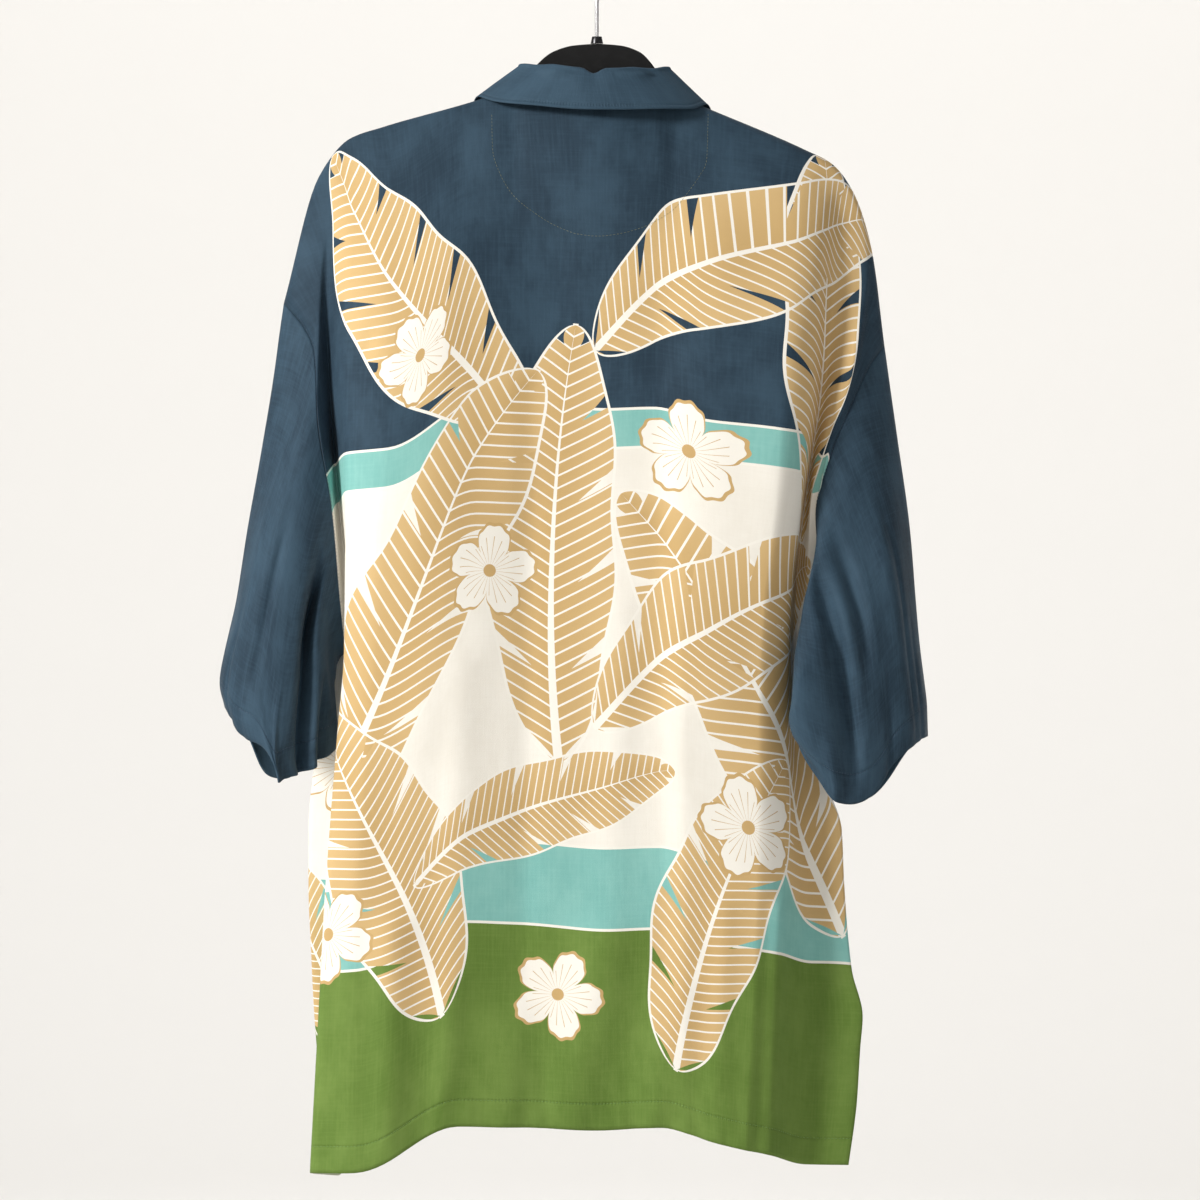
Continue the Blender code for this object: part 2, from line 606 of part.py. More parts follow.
def button_mesh():
    """A four-hole button's solid: a disc with a softened rim."""
    mesh = bpy.data.meshes.new("button")
    shape = bmesh.new()
    bmesh.ops.create_cone(shape, cap_ends=True, segments=BUTTON_SIDES, radius1=BUTTON_RADIUS,
                          radius2=BUTTON_RADIUS, depth=BUTTON_THICKNESS)
    rims = [edge for edge in shape.edges if len({round(v.co.z, 6) for v in edge.verts}) == 1]
    bmesh.ops.bevel(shape, geom=rims, offset=BUTTON_THICKNESS * BUTTON_SOFTENING, segments=1,
                    affect="EDGES", profile=0.5)
    shape.to_mesh(mesh)
    shape.free()
    return mesh


def seat_button(button, tree, height):
    """Lays a button on the front lap, just clear of the cloth under its whole face."""
    start = Vector((0, PROBE_START_Y, height))
    spot, normal, _, _ = tree.ray_cast(start, Vector((0, -1, 0)))
    turn = normal.to_track_quat("Z", "Y")
    highest = 0.0
    for step in range(BUTTON_PROBES):
        around = 2 * math.pi * step / BUTTON_PROBES
        rim = Vector((math.cos(around), math.sin(around), 0)) * BUTTON_RADIUS
        start = spot + turn @ rim + normal * PROBE_LIFT
        below, _, _, _ = tree.ray_cast(start, -normal)
        if below:
            highest = max(highest, (below - spot).dot(normal))
    button.rotation_mode = "QUATERNION"
    button.rotation_quaternion = turn
    button.location = spot + normal * (highest + BUTTON_GAP + BUTTON_THICKNESS / 2)


def hanger_outline(ridge):
    """The hanger's outline (x, z): under the shoulder ridge, over the hump and back."""
    xs, zs = ridge[:, 0] / MM, ridge[:, 2] / MM
    neck = (HUMP[0][0] - HUMP_CLEAR_LEFT, HUMP[-1][0] + HUMP_CLEAR_RIGHT)

    def under_ridge(low, high):
        inside = [x for x in xs if low < x < high]
        return [(x, float(np.interp(x, xs, zs)) - HANGER_UNDER_RIDGE) for x in [low, *inside, high]]

    left = under_ridge(HANGER_LEFT_END, neck[0])
    right = under_ridge(neck[1], HANGER_RIGHT_END)
    top = left + list(HUMP) + right

    def arm_underside(arm):
        return [(x, z - HANGER_ARM_HEIGHT) for x, z in arm]

    right_low = arm_underside(right)[::-1]
    left_low = arm_underside(left)[::-1]
    right_tip = [(HANGER_RIGHT_END + out, right[-1][1] - HANGER_ARM_HEIGHT * down)
                 for out, down in HANGER_TIP]
    left_tip = [(HANGER_LEFT_END - out, left[0][1] - HANGER_ARM_HEIGHT * down)
                for out, down in HANGER_TIP[::-1]]
    return top + right_tip + right_low + list(HUMP_UNDERSIDE) + left_low + left_tip


def hanger_body(collection, finish, ridge):
    """The flocked plate, cut from its outline and softened on both faces."""
    outline = hanger_outline(ridge)
    mesh = bpy.data.meshes.new("hanger_body")
    shape = bmesh.new()
    corners = [shape.verts.new((x * MM, -HANGER_THICKNESS / 2, z * MM)) for x, z in outline]
    face = shape.faces.new(corners)
    bmesh.ops.recalc_face_normals(shape, faces=[face])
    if face.normal.y > 0:
        face.normal_flip()
    pushed = bmesh.ops.extrude_face_region(shape, geom=[face], use_keep_orig=True)
    moved = [item for item in pushed["geom"] if isinstance(item, bmesh.types.BMVert)]
    bmesh.ops.translate(shape, verts=moved, vec=(0, HANGER_THICKNESS, 0))
    bmesh.ops.recalc_face_normals(shape, faces=shape.faces)
    rims = [edge for edge in shape.edges
            if abs(edge.verts[0].co.y - edge.verts[1].co.y) < 1e-6]
    bmesh.ops.bevel(shape, geom=rims, offset=HANGER_BEVEL, segments=1, affect="EDGES", profile=0.5)
    bmesh.ops.triangulate(shape, faces=shape.faces)
    shape.to_mesh(mesh)
    shape.free()
    return place("hanger_body", mesh, collection, finish)


def hanger_ferrule(collection, finish):
    """A turned cap on the hump, with the socket that the wire stands in."""
    socket_radius = WIRE_RADIUS + WIRE_SLACK
    top = FERRULE_SEAT_Z + FERRULE_HEIGHT
    floor = top - FERRULE_SOCKET
    profile = [(0, floor), (socket_radius, floor), (socket_radius, top),
               (FERRULE_RADIUS * FERRULE_RIM, top),
               (FERRULE_RADIUS, top - FERRULE_CHAMFER * FERRULE_HEIGHT),
               (FERRULE_RADIUS, FERRULE_SEAT_Z), (0, FERRULE_SEAT_Z)]
    mesh = bpy.data.meshes.new("hanger_ferrule")
    mesh.from_pydata([(x, 0, z) for x, z in profile],
                     [(i, i + 1) for i in range(len(profile) - 1)], [])
    obj = place("hanger_ferrule", mesh, collection, finish)
    turn = obj.modifiers.new("turn", "SCREW")
    turn.steps = turn.render_steps = FERRULE_SIDES
    turn.use_merge_vertices = True
    turn.merge_threshold = MERGE_DISTANCE
    turn.use_normal_calculate = False
    return obj


def hook_path():
    """The wire from its socket, up the stem and round the loop, as (x, z)."""
    base = FERRULE_SEAT_Z + FERRULE_HEIGHT - FERRULE_SOCKET + WIRE_SLACK
    centre_z = WIRE_RADIUS - LOOP_RADIUS
    leave = math.radians(LOOP_START_ANGLE)
    joined = (LOOP_RADIUS * math.cos(leave), centre_z + LOOP_RADIUS * math.sin(leave))
    stem = [(0.0, z) for z in np.linspace(base, STEM_TOP_Z, 5)]
    start, pull = np.array(stem[-1]), np.array([0, STEM_TOP_Z + STEM_BEND_REACH])
    push = np.array(joined) - STEM_BEND_REACH * np.array([-math.sin(leave), math.cos(leave)])
    bend = []
    for t in np.linspace(0, 1, 9)[1:-1]:
        point = ((1 - t) ** 3 * start + 3 * (1 - t) ** 2 * t * pull
                 + 3 * (1 - t) * t**2 * push + t**3 * np.array(joined))
        bend.append(tuple(point))
    turns = np.radians(np.arange(LOOP_START_ANGLE, LOOP_TIP_ANGLE + 1, LOOP_STEP_ANGLE))
    loop = [(LOOP_RADIUS * math.cos(a), centre_z + LOOP_RADIUS * math.sin(a)) for a in turns]
    return stem + bend + loop


def hanger_hook(collection, finish):
    path = hook_path()
    curve = bpy.data.curves.new("hanger_hook", "CURVE")
    curve.dimensions = "3D"
    curve.bevel_depth = WIRE_RADIUS
    curve.bevel_resolution = 2
    curve.use_fill_caps = True
    spline = curve.splines.new("POLY")
    spline.points.add(len(path) - 1)
    for point, (x, z) in zip(spline.points, path):
        point.co = (x, 0, z, 1)
    return place("hanger_hook", curve, collection, finish)


# ---------------------------------------------------------------- the shirt


def cloth_panels():
    """Every cloth piece's grid and normals, with one normal where pieces meet."""
    back = back_grid()
    neck_left = column_of("neck_left")
    neck_right = column_of("neck_right")
    front_left = front_grid(LEFT_SEAM, LEFT_TIP_Z, LEFT_HEM_Z, FRONT_LEFT_LINES,
                            FRONT_LEFT_FOLDS, back[0, :neck_left + 1])
    front_right = front_grid(RIGHT_SEAM, RIGHT_TIP_Z, RIGHT_HEM_Z, FRONT_RIGHT_LINES,
                             FRONT_RIGHT_FOLDS, back[0, :neck_right - 1:-1])
    sleeve_left = sleeve_grid(back[:, 0], front_left[:, 0], LEFT_SLEEVE, LEFT_CREASES)
    sleeve_right = sleeve_grid(back[:, -1], front_right[:, 0], RIGHT_SLEEVE, RIGHT_CREASES)
    neck = np.concatenate([front_left[COLLAR_END_ROW:0:-1, -1],
                           back[0, neck_left:neck_right + 1],
                           front_right[1:COLLAR_END_ROW + 1, -1]])
    tree = surface_tree([(back, False), (front_left, True), (front_right, False)])
    collar = collar_grid(neck, tree)
    panels = {
        "back": (back, False, False, WALL),
        "front_left": (front_left, False, True, WALL),
        "front_right": (front_right, False, False, WALL),
        "sleeve_left": (sleeve_left, True, False, WALL),
        "sleeve_right": (sleeve_right, True, True, WALL),
        "collar": (collar, False, True, COLLAR_WALL),
    }
    made = {}
    for name, (grid, closed, flipped, thickness) in panels.items():
        group = "body" if name in ("back", "front_left", "front_right") else name
        made[name] = {"grid": grid, "closed": closed, "flipped": flipped, "group": group,
                      "thickness": thickness, "normals": grid_normals(grid, closed, flipped)}
    share_normals(made.values())
    return made


def build_cloth(collection):
    panels = cloth_panels()
    finishes = {
        "back": material("printed cloth, back", "cream", 0.6),
        "front_left": material("printed cloth, left front", "aqua", 0.6),
        "front_right": material("printed cloth, right front", "green", 0.6),
        "sleeve_left": material("navy cloth, left sleeve", "navy", 0.6),
        "sleeve_right": material("navy cloth, right sleeve", "navy", 0.6),
        "collar": material("navy cloth, collar", "navy", 0.6),
    }
    for name, panel in panels.items():
        place(name, wall_mesh(name, panel), collection, finishes[name])
    return panels


def build_buttons(collection, front_left):
    tree = surface_tree([(front_left, True)])
    mesh = button_mesh()
    for number in range(BUTTON_COUNT):
        finish = material(f"button {number + 1}", "shell", 0.35)
        button = place(f"button_{number + 1}", mesh.copy(), collection, finish)
        seat_button(button, tree, BUTTON_TOP_Z - number * BUTTON_SPACING)


def build_hanger(collection, ridge):
    hanger_body(collection, material("black flock", "black", 0.95), ridge)
    hanger_ferrule(collection, material("ferrule metal", "steel", 0.3, 1.0))
    hanger_hook(collection, material("hook wire", "steel", 0.25, 1.0))


def main():
    clear_scene()
    shirt = bpy.data.collections.new("hawaiian shirt")
    bpy.context.scene.collection.children.link(shirt)
    panels = build_cloth(shirt)
    build_buttons(shirt, panels["front_left"]["grid"])
    build_hanger(shirt, panels["back"]["grid"][0])


main()
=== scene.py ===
"""A hawaiian shirt hanging on a slim flocked hanger, seen from its back.

The shirt's pieces are sheets of woven cloth laid on the forms of their solids, with their
creases placed one by one. Tables give millimetres; everything built is in metres, +Z up, and the
back faces -Y. The origin is the inside of the hook's top.
"""

from __future__ import annotations

import logging
import math
from dataclasses import asdict, dataclass, field
from enum import Enum
from typing import Iterable, Sequence

import bmesh
import bpy
import numpy as np
from mathutils import Matrix, Vector
from mathutils.bvhtree import BVHTree

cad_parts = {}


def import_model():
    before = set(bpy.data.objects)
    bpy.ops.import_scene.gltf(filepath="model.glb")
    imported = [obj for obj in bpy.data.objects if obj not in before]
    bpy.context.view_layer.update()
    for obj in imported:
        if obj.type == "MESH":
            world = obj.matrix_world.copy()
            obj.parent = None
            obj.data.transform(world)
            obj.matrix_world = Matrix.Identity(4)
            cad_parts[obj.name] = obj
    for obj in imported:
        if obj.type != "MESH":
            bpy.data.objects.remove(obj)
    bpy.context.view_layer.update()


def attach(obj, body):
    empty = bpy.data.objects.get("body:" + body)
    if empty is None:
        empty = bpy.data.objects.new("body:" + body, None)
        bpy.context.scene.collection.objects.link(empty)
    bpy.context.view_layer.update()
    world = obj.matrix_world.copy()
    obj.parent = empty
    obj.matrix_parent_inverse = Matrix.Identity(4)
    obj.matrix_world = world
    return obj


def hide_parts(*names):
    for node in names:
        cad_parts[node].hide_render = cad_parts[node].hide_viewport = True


LOG = logging.getLogger("hawaiian shirt")

MM = 0.001
BODY = "root"

Array = np.ndarray
Piece = bpy.types.Object
Material = bpy.types.Material
NodeTree = bpy.types.NodeTree
Faces = list[tuple[int, ...]]
Outline = list[tuple[float, float]]
Track = tuple[Array, Array]  # the points of a line and their normals
Point = Colour = tuple[float, float, float]
Station = tuple[float, ...]
Table = tuple[Station, ...]


# --- tables of the cut


RIDGE = 6.0


@dataclass(frozen=True)
class Line:
    """A line that runs down a panel from the shoulder ridge to the hem.

    place is how far across the section it lies, cells are the coarse cells up to the next
    line, and each station is (height z, across x, depth from the hanger's plane).
    """

    name: str
    place: float
    cells: int
    stations: Table
    ridge: float = RIDGE


@dataclass(frozen=True)
class Seam:
    """A side seam: its top at the armhole, its hem and its stations (z, x)."""

    top: float
    hem: float
    stations: Table


@dataclass(frozen=True)
class Fold:
    """A soft fold: (x, z) of both ends, its half width and its height out."""

    name: str
    start: tuple[float, float]
    end: tuple[float, float]
    half_width: float
    height: float


@dataclass(frozen=True)
class Pull:
    """A pull on a sleeve: its angle and half width, where along the sleeve it starts and is
    full, and how far it takes the cloth across, out of the back and up."""

    angle: float
    half_width: float
    start: float
    full: float
    across: float
    out: float
    rise: float


@dataclass(frozen=True)
class Crease:
    """A crease along a sleeve.

    The angles, in degrees round the sleeve from the shoulder line, are at the armhole and at
    the cuff, and the shares say where along the sleeve it starts and ends.
    """

    name: str
    armhole_angle: float
    cuff_angle: float
    half_width: float
    height: float
    start: float
    end: float


LEFT_SEAM = Seam(-300, -1021, (
    (-300, -260), (-320, -243), (-340, -234), (-400, -230), (-470, -218.5), (-560, -211),
    (-588, -208), (-600, -205), (-625, -201), (-650, -199), (-740, -203), (-890, -206),
    (-1021, -212)))
RIGHT_SEAM = Seam(-335, -1012, (
    (-335, 238.6), (-352, 226), (-390, 208), (-429, 192), (-476, 180), (-530, 184),
    (-590, 186), (-606, 184), (-618, 181), (-645, 177), (-700, 178), (-780, 184),
    (-890, 192), (-1012, 188)))
BACK_LINES = (
    Line("left_valley", 30, 2, (
        (-195, -231, 0), (-250, -224, 9), (-300, -224, 10), (-374, -221, 9), (-470, -213, 9),
        (-560, -202, 12), (-610, -194, 15), (-650, -191, 20), (-740, -197, 15), (-890, -206, 20),
        (-1020, -214, 32))),
    Line("left_edge", 55, 3, (
        (-163, -205, 0), (-200, -201, 10), (-250, -203, 24), (-350, -206, 38),
        (-450, -206, 44), (-515, -207, 45), (-590, -208, 46), (-652, -213, 48), (-788, -223, 54),
        (-883, -228, 58), (-1015, -235, 62))),
    Line("left_flat", 85, 3, (
        (-153.5, -178, 0), (-200, -172, 16), (-250, -170, 34), (-350, -168, 54), (-450, -172, 60),
        (-590, -180, 64), (-788, -193, 74), (-1013, -196, 86))),
    Line("shoulder_left", 158, 2, (
        (-131.3, -100, 0), (-200, -98, 22), (-300, -97, 43), (-450, -99, 56), (-700, -103, 68),
        (-976, -114, 78))),
    Line("neck_left", 190, 1, (
        (-121.6, -72, 0), (-200, -72, 22), (-300, -72, 42), (-450, -72, 54), (-700, -75, 66),
        (-977, -80, 74))),
    Line("nape_left", 206, 3, (
        (-127, -57, 12), (-200, -52, 31), (-300, -50, 46), (-450, -50, 56), (-700, -54, 68),
        (-977.5, -56, 75)), 0.0),
    Line("centre", 255, 3, (
        (-135, 0, 22), (-200, 0, 36), (-300, 0, 47), (-450, 0, 56), (-700, 0, 67),
        (-980, 0, 74)), 0.0),
    Line("nape_right", 304, 1, (
        (-131, 52, 12), (-200, 50, 31), (-300, 48, 46), (-450, 49, 56), (-700, 52, 68),
        (-977.5, 54, 76)), 0.0),
    Line("neck_right", 320, 2, (
        (-127, 66, 0), (-200, 66, 22), (-300, 68, 42), (-450, 70, 54), (-700, 72, 66),
        (-982, 74, 76))),
    Line("shoulder_right", 350, 3, (
        (-137.5, 91, 0), (-200, 90, 22), (-300, 90, 43), (-450, 91, 56), (-700, 91, 67),
        (-988, 92, 78))),
    Line("right_flat", 425, 3, (
        (-172, 172, 0), (-200, 168, 16), (-250, 162, 34), (-350, 153, 54), (-450, 147, 60),
        (-590, 133, 62), (-779, 130, 70), (-995, 120, 80))),
    Line("right_edge", 455, 2, (
        (-184, 195, 0), (-200, 192.6, 6), (-236, 188, 20), (-308, 180, 37), (-390, 174.5, 43),
        (-430, 171, 43), (-476, 167, 41), (-530, 161, 40), (-600, 157, 42), (-779, 153, 58),
        (-842, 149, 60), (-1000, 142, 66))),
    Line("right_valley", 480, 2, (
        (-208, 213, 0), (-260, 203, 9), (-350, 191, 13), (-390, 185, 13), (-430, 178, 13),
        (-476, 171.5, 14), (-530, 165, 17), (-600, 162, 24), (-660, 163, 24), (-700, 168, 26),
        (-779, 174, 30), (-900, 178, 36), (-1010, 172, 44))),
    Line("right_lobe", 500, 2, (
        (-255, 228, 0), (-300, 222, 12), (-350, 211, 24), (-390, 196, 28), (-430, 185, 29),
        (-476, 175.5, 29), (-530, 174, 26), (-600, 172, 18), (-660, 171, 18), (-690, 184, 20),
        (-735, 202, 22), (-780, 204, 24), (-850, 210, 28), (-889, 219, 30), (-915, 217, 30),
        (-960, 214, 33), (-1011, 207, 37))),
)
SEAM_TO_SEAM = 525
FRONT_LEFT_LINES = (
    Line("front_valley", 30, 2, (
        (-195, -231, 0), (-250, -218, 14), (-350, -209, 22), (-470, -206, 24), (-560, -201, 25),
        (-610, -194, 26), (-650, -191, 27), (-740, -200, 28), (-850, -206, 34),
        (-1015, -212, 38))),
    Line("front_lobe", 55, 3, (
        (-163, -205, 0), (-250, -199, 24), (-350, -198, 36), (-470, -202, 40), (-550, -209, 43),
        (-590, -219, 46), (-640, -226, 48), (-690, -238, 47), (-740, -242, 45), (-787, -242, 46),
        (-838, -240, 48), (-883, -238, 50), (-950, -233, 53), (-1012, -227, 56))),
    Line("front_flat", 85, 2, (
        (-153.5, -178, 0), (-250, -172, 32), (-350, -172, 50), (-600, -176, 58), (-780, -196, 64),
        (-1005, -194, 74))),
    Line("breast", 160, 3, (
        (-133, -105, 0), (-200, -98, 22), (-300, -94, 40), (-450, -92, 52), (-700, -95, 62),
        (-988, -98, 70))),
    Line("front_edge", 270, 0, (
        (-121.6, -72, 0), (-140, -62, 10), (-170, -44, 22), (-205, -20, 32), (-235, 10, 38),
        (-260, 15, 42), (-450, 15, 54), (-700, 15, 64), (-992, 15, 70))),
)
FRONT_RIGHT_LINES = (
    Line("front_lobe_back", 25, 2, (
        (-255, 228, 0), (-300, 222, 12), (-350, 211, 24), (-390, 196, 28), (-430, 184, 29),
        (-476, 174, 29), (-530, 173, 26), (-600, 171, 18), (-660, 170, 18), (-700, 178, 22),
        (-780, 196, 28), (-889, 206, 32), (-1011, 200, 36))),
    Line("front_valley", 45, 2, (
        (-208, 213, 0), (-260, 204, 14), (-350, 192, 22), (-430, 177, 24), (-476, 168, 25),
        (-530, 164, 25), (-600, 161, 26), (-660, 162, 28), (-700, 168, 30), (-900, 180, 38),
        (-1010, 178, 42))),
    Line("front_lobe", 70, 3, (
        (-184, 195, 0), (-236, 190, 20), (-308, 182, 32), (-430, 171, 40), (-530, 162, 41),
        (-660, 162, 44), (-779, 184, 50), (-1004, 186, 58))),
    Line("front_flat", 100, 3, (
        (-172, 172, 0), (-250, 164, 32), (-350, 154, 50), (-600, 138, 58), (-779, 154, 66),
        (-1002, 156, 74))),
    Line("breast", 175, 2, (
        (-140, 98, 0), (-200, 92, 22), (-300, 90, 40), (-450, 90, 52), (-700, 92, 62),
        (-988, 96, 70))),
    Line("front_edge", 285, 0, (
        (-127, 66, 0), (-145, 56, 9), (-172, 40, 19), (-205, 16, 29), (-235, -10, 35),
        (-260, -15, 38), (-450, -15, 50.5), (-700, -15, 60.5), (-980, -15, 66.5))),
)

BACK_FOLDS = (
    Fold("hem_diagonal", (5, -830), (-20, -960), 22, 5.0),
    Fold("hem_right", (64, -870), (50, -960), 20, 5.0),
    Fold("hem_left", (-168, -820), (-172, -1000), 16, 6.0),
    Fold("blade_left", (-120, -260), (-140, -640), 30, 4.0),
    Fold("blade_right", (95, -250), (95, -620), 28, 4.0),
    Fold("waist_dip", (-60, -480), (-70, -860), 34, -4.0),
    Fold("nape_drop", (-20, -210), (-30, -520), 26, -1.8),
    Fold("long_right", (62, -430), (70, -830), 14, 1.6),
    Fold("long_middle", (20, -560), (12, -900), 16, 1.5),
    Fold("long_left", (-112, -600), (-120, -940), 13, 1.7),
    Fold("armhole_left", (-186, -330), (-214, -420), 7, -1.6),
    Fold("armhole_left_low", (-190, -470), (-206, -560), 6, -1.4),
    Fold("shoulder_right", (196, -222), (186, -300), 6, -2.2),
    Fold("armhole_right", (180, -330), (196, -400), 7, -1.8),
    Fold("skirt_right", (104, -800), (96, -985), 10, 1.8),
    Fold("skirt_middle", (-60, -880), (-70, -978), 11, 1.5),
    Fold("skirt_left", (-120, -860), (-128, -980), 10, 1.6),
    Fold("right_edge_low", (150, -800), (141, -1000), 8, 5.0),
    Fold("left_edge_low", (-222, -770), (-233, -1010), 8, 4.0),
    Fold("hem_pull", (-44, -930), (-40, -984), 6, -1.0),
    Fold("hem_pull_right", (26, -940), (30, -984), 6, -0.9),
)
FRONT_LEFT_FOLDS = (
    Fold("chest", (-110, -300), (-130, -700), 30, 5.0),
    Fold("skirt", (-105, -620), (-112, -990), 28, -6.0),
    Fold("long_side", (-150, -420), (-158, -860), 13, 1.6),
    Fold("long_middle", (-66, -520), (-60, -900), 15, 1.5),
    Fold("armhole", (-186, -330), (-212, -430), 7, -1.6),
    Fold("skirt_side", (-150, -840), (-156, -985), 10, 1.6),
    Fold("collar_pull", (-60, -230), (-84, -330), 10, 1.4),
)
FRONT_RIGHT_FOLDS = (
    Fold("chest", (100, -300), (110, -720), 30, 5.0),
    Fold("skirt", (104, -600), (108, -990), 28, -6.0),
    Fold("long_side", (142, -430), (140, -840), 13, 1.6),
    Fold("long_middle", (60, -540), (58, -900), 15, 1.5),
    Fold("armhole", (180, -340), (196, -420), 7, -1.6),
    Fold("skirt_side", (146, -830), (150, -980), 10, 1.6),
    Fold("collar_pull", (56, -235), (80, -330), 10, 1.4),
)


# --- curves


def smooth_through(places: Sequence[float], values: Sequence, at: Sequence[float]) -> Array:
    """Reads a smooth curve that passes through its stations and never overshoots them.

    Args:
        places: where each station lies, rising.
        values: one value or one row of values for each station.
        at: the places to read.

    Returns:
        One row of values for each place read.
    """
    places = np.asarray(places, float)
    values = np.asarray(values, float).reshape(len(places), -1)
    at = np.clip(np.atleast_1d(at), places[0], places[-1])
    steps = np.diff(places)[:, None]
    rises = np.diff(values, axis=0) / steps
    slopes = np.zeros_like(values)
    slopes[0], slopes[-1] = rises[0], rises[-1]
    before, after = rises[:-1], rises[1:]
    weight_a = 2 * steps[1:] + steps[:-1]
    weight_b = steps[1:] + 2 * steps[:-1]
    with np.errstate(divide="ignore", invalid="ignore"):
        mean = (weight_a + weight_b) / (weight_a / before + weight_b / after)
    slopes[1:-1] = np.where(before * after > 0, mean, 0.0)
    cell = np.clip(np.searchsorted(places, at, side="right") - 1, 0, len(places) - 2)
    width = steps[cell]
    t = (at - places[cell])[:, None] / width
    return (values[cell] * (2 * t**3 - 3 * t**2 + 1) + slopes[cell] * width * (t**3 - 2 * t**2 + t)
            + values[cell + 1] * (3 * t**2 - 2 * t**3) + slopes[cell + 1] * width * (t**3 - t**2))


def smoothstep(low: float, high: float, value: Array | float) -> Array:
    """Returns 0 below low, 1 above high and an eased share between them."""
    share = np.clip((np.asarray(value, float) - low) / (high - low), 0.0, 1.0)
    return share * share * (3 - 2 * share)


def unit(vectors: Array) -> Array:
    """Returns the vectors at length one."""
    return vectors / np.maximum(np.linalg.norm(vectors, axis=-1, keepdims=True), 1e-12)


def distance_along(path: Array) -> Array:
    """Returns how far along a line each of its points lies."""
    return np.concatenate([[0], np.cumsum(np.linalg.norm(np.diff(path, axis=0), axis=1))])


def read_along(at: float | Array, places: Array, rows: Array) -> Array:
    """Reads rows of values at places along a line, straight between its points."""
    return np.stack([np.interp(at, places, values) for values in rows.T], axis=-1)


@dataclass(frozen=True)
class Waves:
    """How the waves of crumpled cloth are mixed: their number, turns, lengths and bends."""

    count: int = 9
    turn: float = 0.55
    shortest: float = 0.7
    longest: float = 1.6
    bend: float = 0.7
    bend_length: float = 2.3
    full_phase: float = 6.3
    height: float = 1.6


def crumple(across: Array, along: Array, size: float, seed: int,
            kind: Waves = Waves()) -> Array:
    """Gives uneven soft waves about size millimetres long, between about -1 and 1.

    Args:
        across: places across the cloth in millimetres.
        along: places along the cloth in millimetres.
        size: the usual length of a wave.
        seed: picks another cloth.
        kind: how the waves are mixed.

    Returns:
        The height of the waves at each place.
    """
    rng = np.random.default_rng(seed)
    waves = np.zeros(np.broadcast(across, along).shape)
    for _ in range(kind.count):
        angle = rng.normal(0.0, kind.turn)
        length = size * rng.uniform(kind.shortest, kind.longest)
        place = across * math.cos(angle) + along * math.sin(angle)
        bend = kind.bend * np.sin(along / (length * kind.bend_length)
                                  + rng.uniform(0, kind.full_phase))
        waves += np.sin(2 * math.pi * place / length + bend + rng.uniform(0, kind.full_phase))
    return waves / kind.count * kind.height


# --- a sheet of cloth


@dataclass
class Sheet:
    """The outer points of one sheet of cloth, rows by columns, and how it is cut.

    closed says that the columns run right round, flipped that the rows and columns turn the
    other way, and group which piece it counts with where several meet. flat holds each
    point's place in the flat cut, in metres.
    """

    points: Array
    flat: Array
    closed: bool
    flipped: bool
    group: str
    normals: Array = field(init=False)

    def __post_init__(self) -> None:
        """Works out the outward normals."""
        if self.closed:
            around = np.roll(self.points, -1, axis=1) - np.roll(self.points, 1, axis=1)
        else:
            around = np.gradient(self.points, axis=1)
        normals = unit(np.cross(np.gradient(self.points, axis=0), around))
        self.normals = -normals if self.flipped else normals

    def faces(self, first: int = 0) -> Faces:
        """Returns the outer faces, pointing out, counted from a first point."""
        rows, columns = self.points.shape[:2]
        found = []
        for row in range(rows - 1):
            for column in range(columns if self.closed else columns - 1):
                beside = (column + 1) % columns
                face = (row * columns + column, (row + 1) * columns + column,
                        (row + 1) * columns + beside, row * columns + beside)
                found.append(tuple(first + at for at in (face[::-1] if self.flipped else face)))
        return found

    def area(self) -> float:
        """Returns the area of the outer points in square metres."""
        grid = self.points
        if self.closed:
            grid = np.concatenate([grid, grid[:, :1]], axis=1)
        a = grid[1:, 1:] - grid[:-1, :-1]
        b = grid[1:, :-1] - grid[:-1, 1:]
        return float(np.linalg.norm(np.cross(a, b), axis=-1).sum() / 2)

    def inset(self, amount: float) -> Array:
        """Returns the points with the free edges pulled in along the cloth by an amount."""
        result = self.points.copy()
        for axis in ((0,) if self.closed else (0, 1)):
            for edge, inner in ((0, 1), (-1, -2)):
                here = np.take(self.points, edge, axis=axis)
                towards = np.take(self.points, inner, axis=axis) - here
                normal = np.take(self.normals, edge, axis=axis)
                towards -= normal * np.sum(towards * normal, axis=1, keepdims=True)
                along = unit(np.gradient(here, axis=0))
                towards -= along * np.sum(towards * along, axis=1, keepdims=True)
                shift = unit(towards) * amount
                if axis == 0:
                    result[edge] += shift
                else:
                    result[:, edge] += shift
        return result


def flat_places(points: Array, base_row: int) -> Array:
    """Lays a grid out flat, as its cut would be: across from the middle, up from the last row.

    Args:
        points: the grid's points, rows by columns.
        base_row: the row whose widths are used for all.

    Returns:
        (across, up) in metres for each point.
    """
    across = distance_along(points[base_row])
    across -= across[-1] / 2
    heights = np.linalg.norm(np.diff(points, axis=0), axis=2)
    up = np.concatenate([np.cumsum(heights[::-1], axis=0)[::-1], np.zeros((1, points.shape[1]))])
    return np.stack([np.broadcast_to(across, up.shape), up], axis=-1)


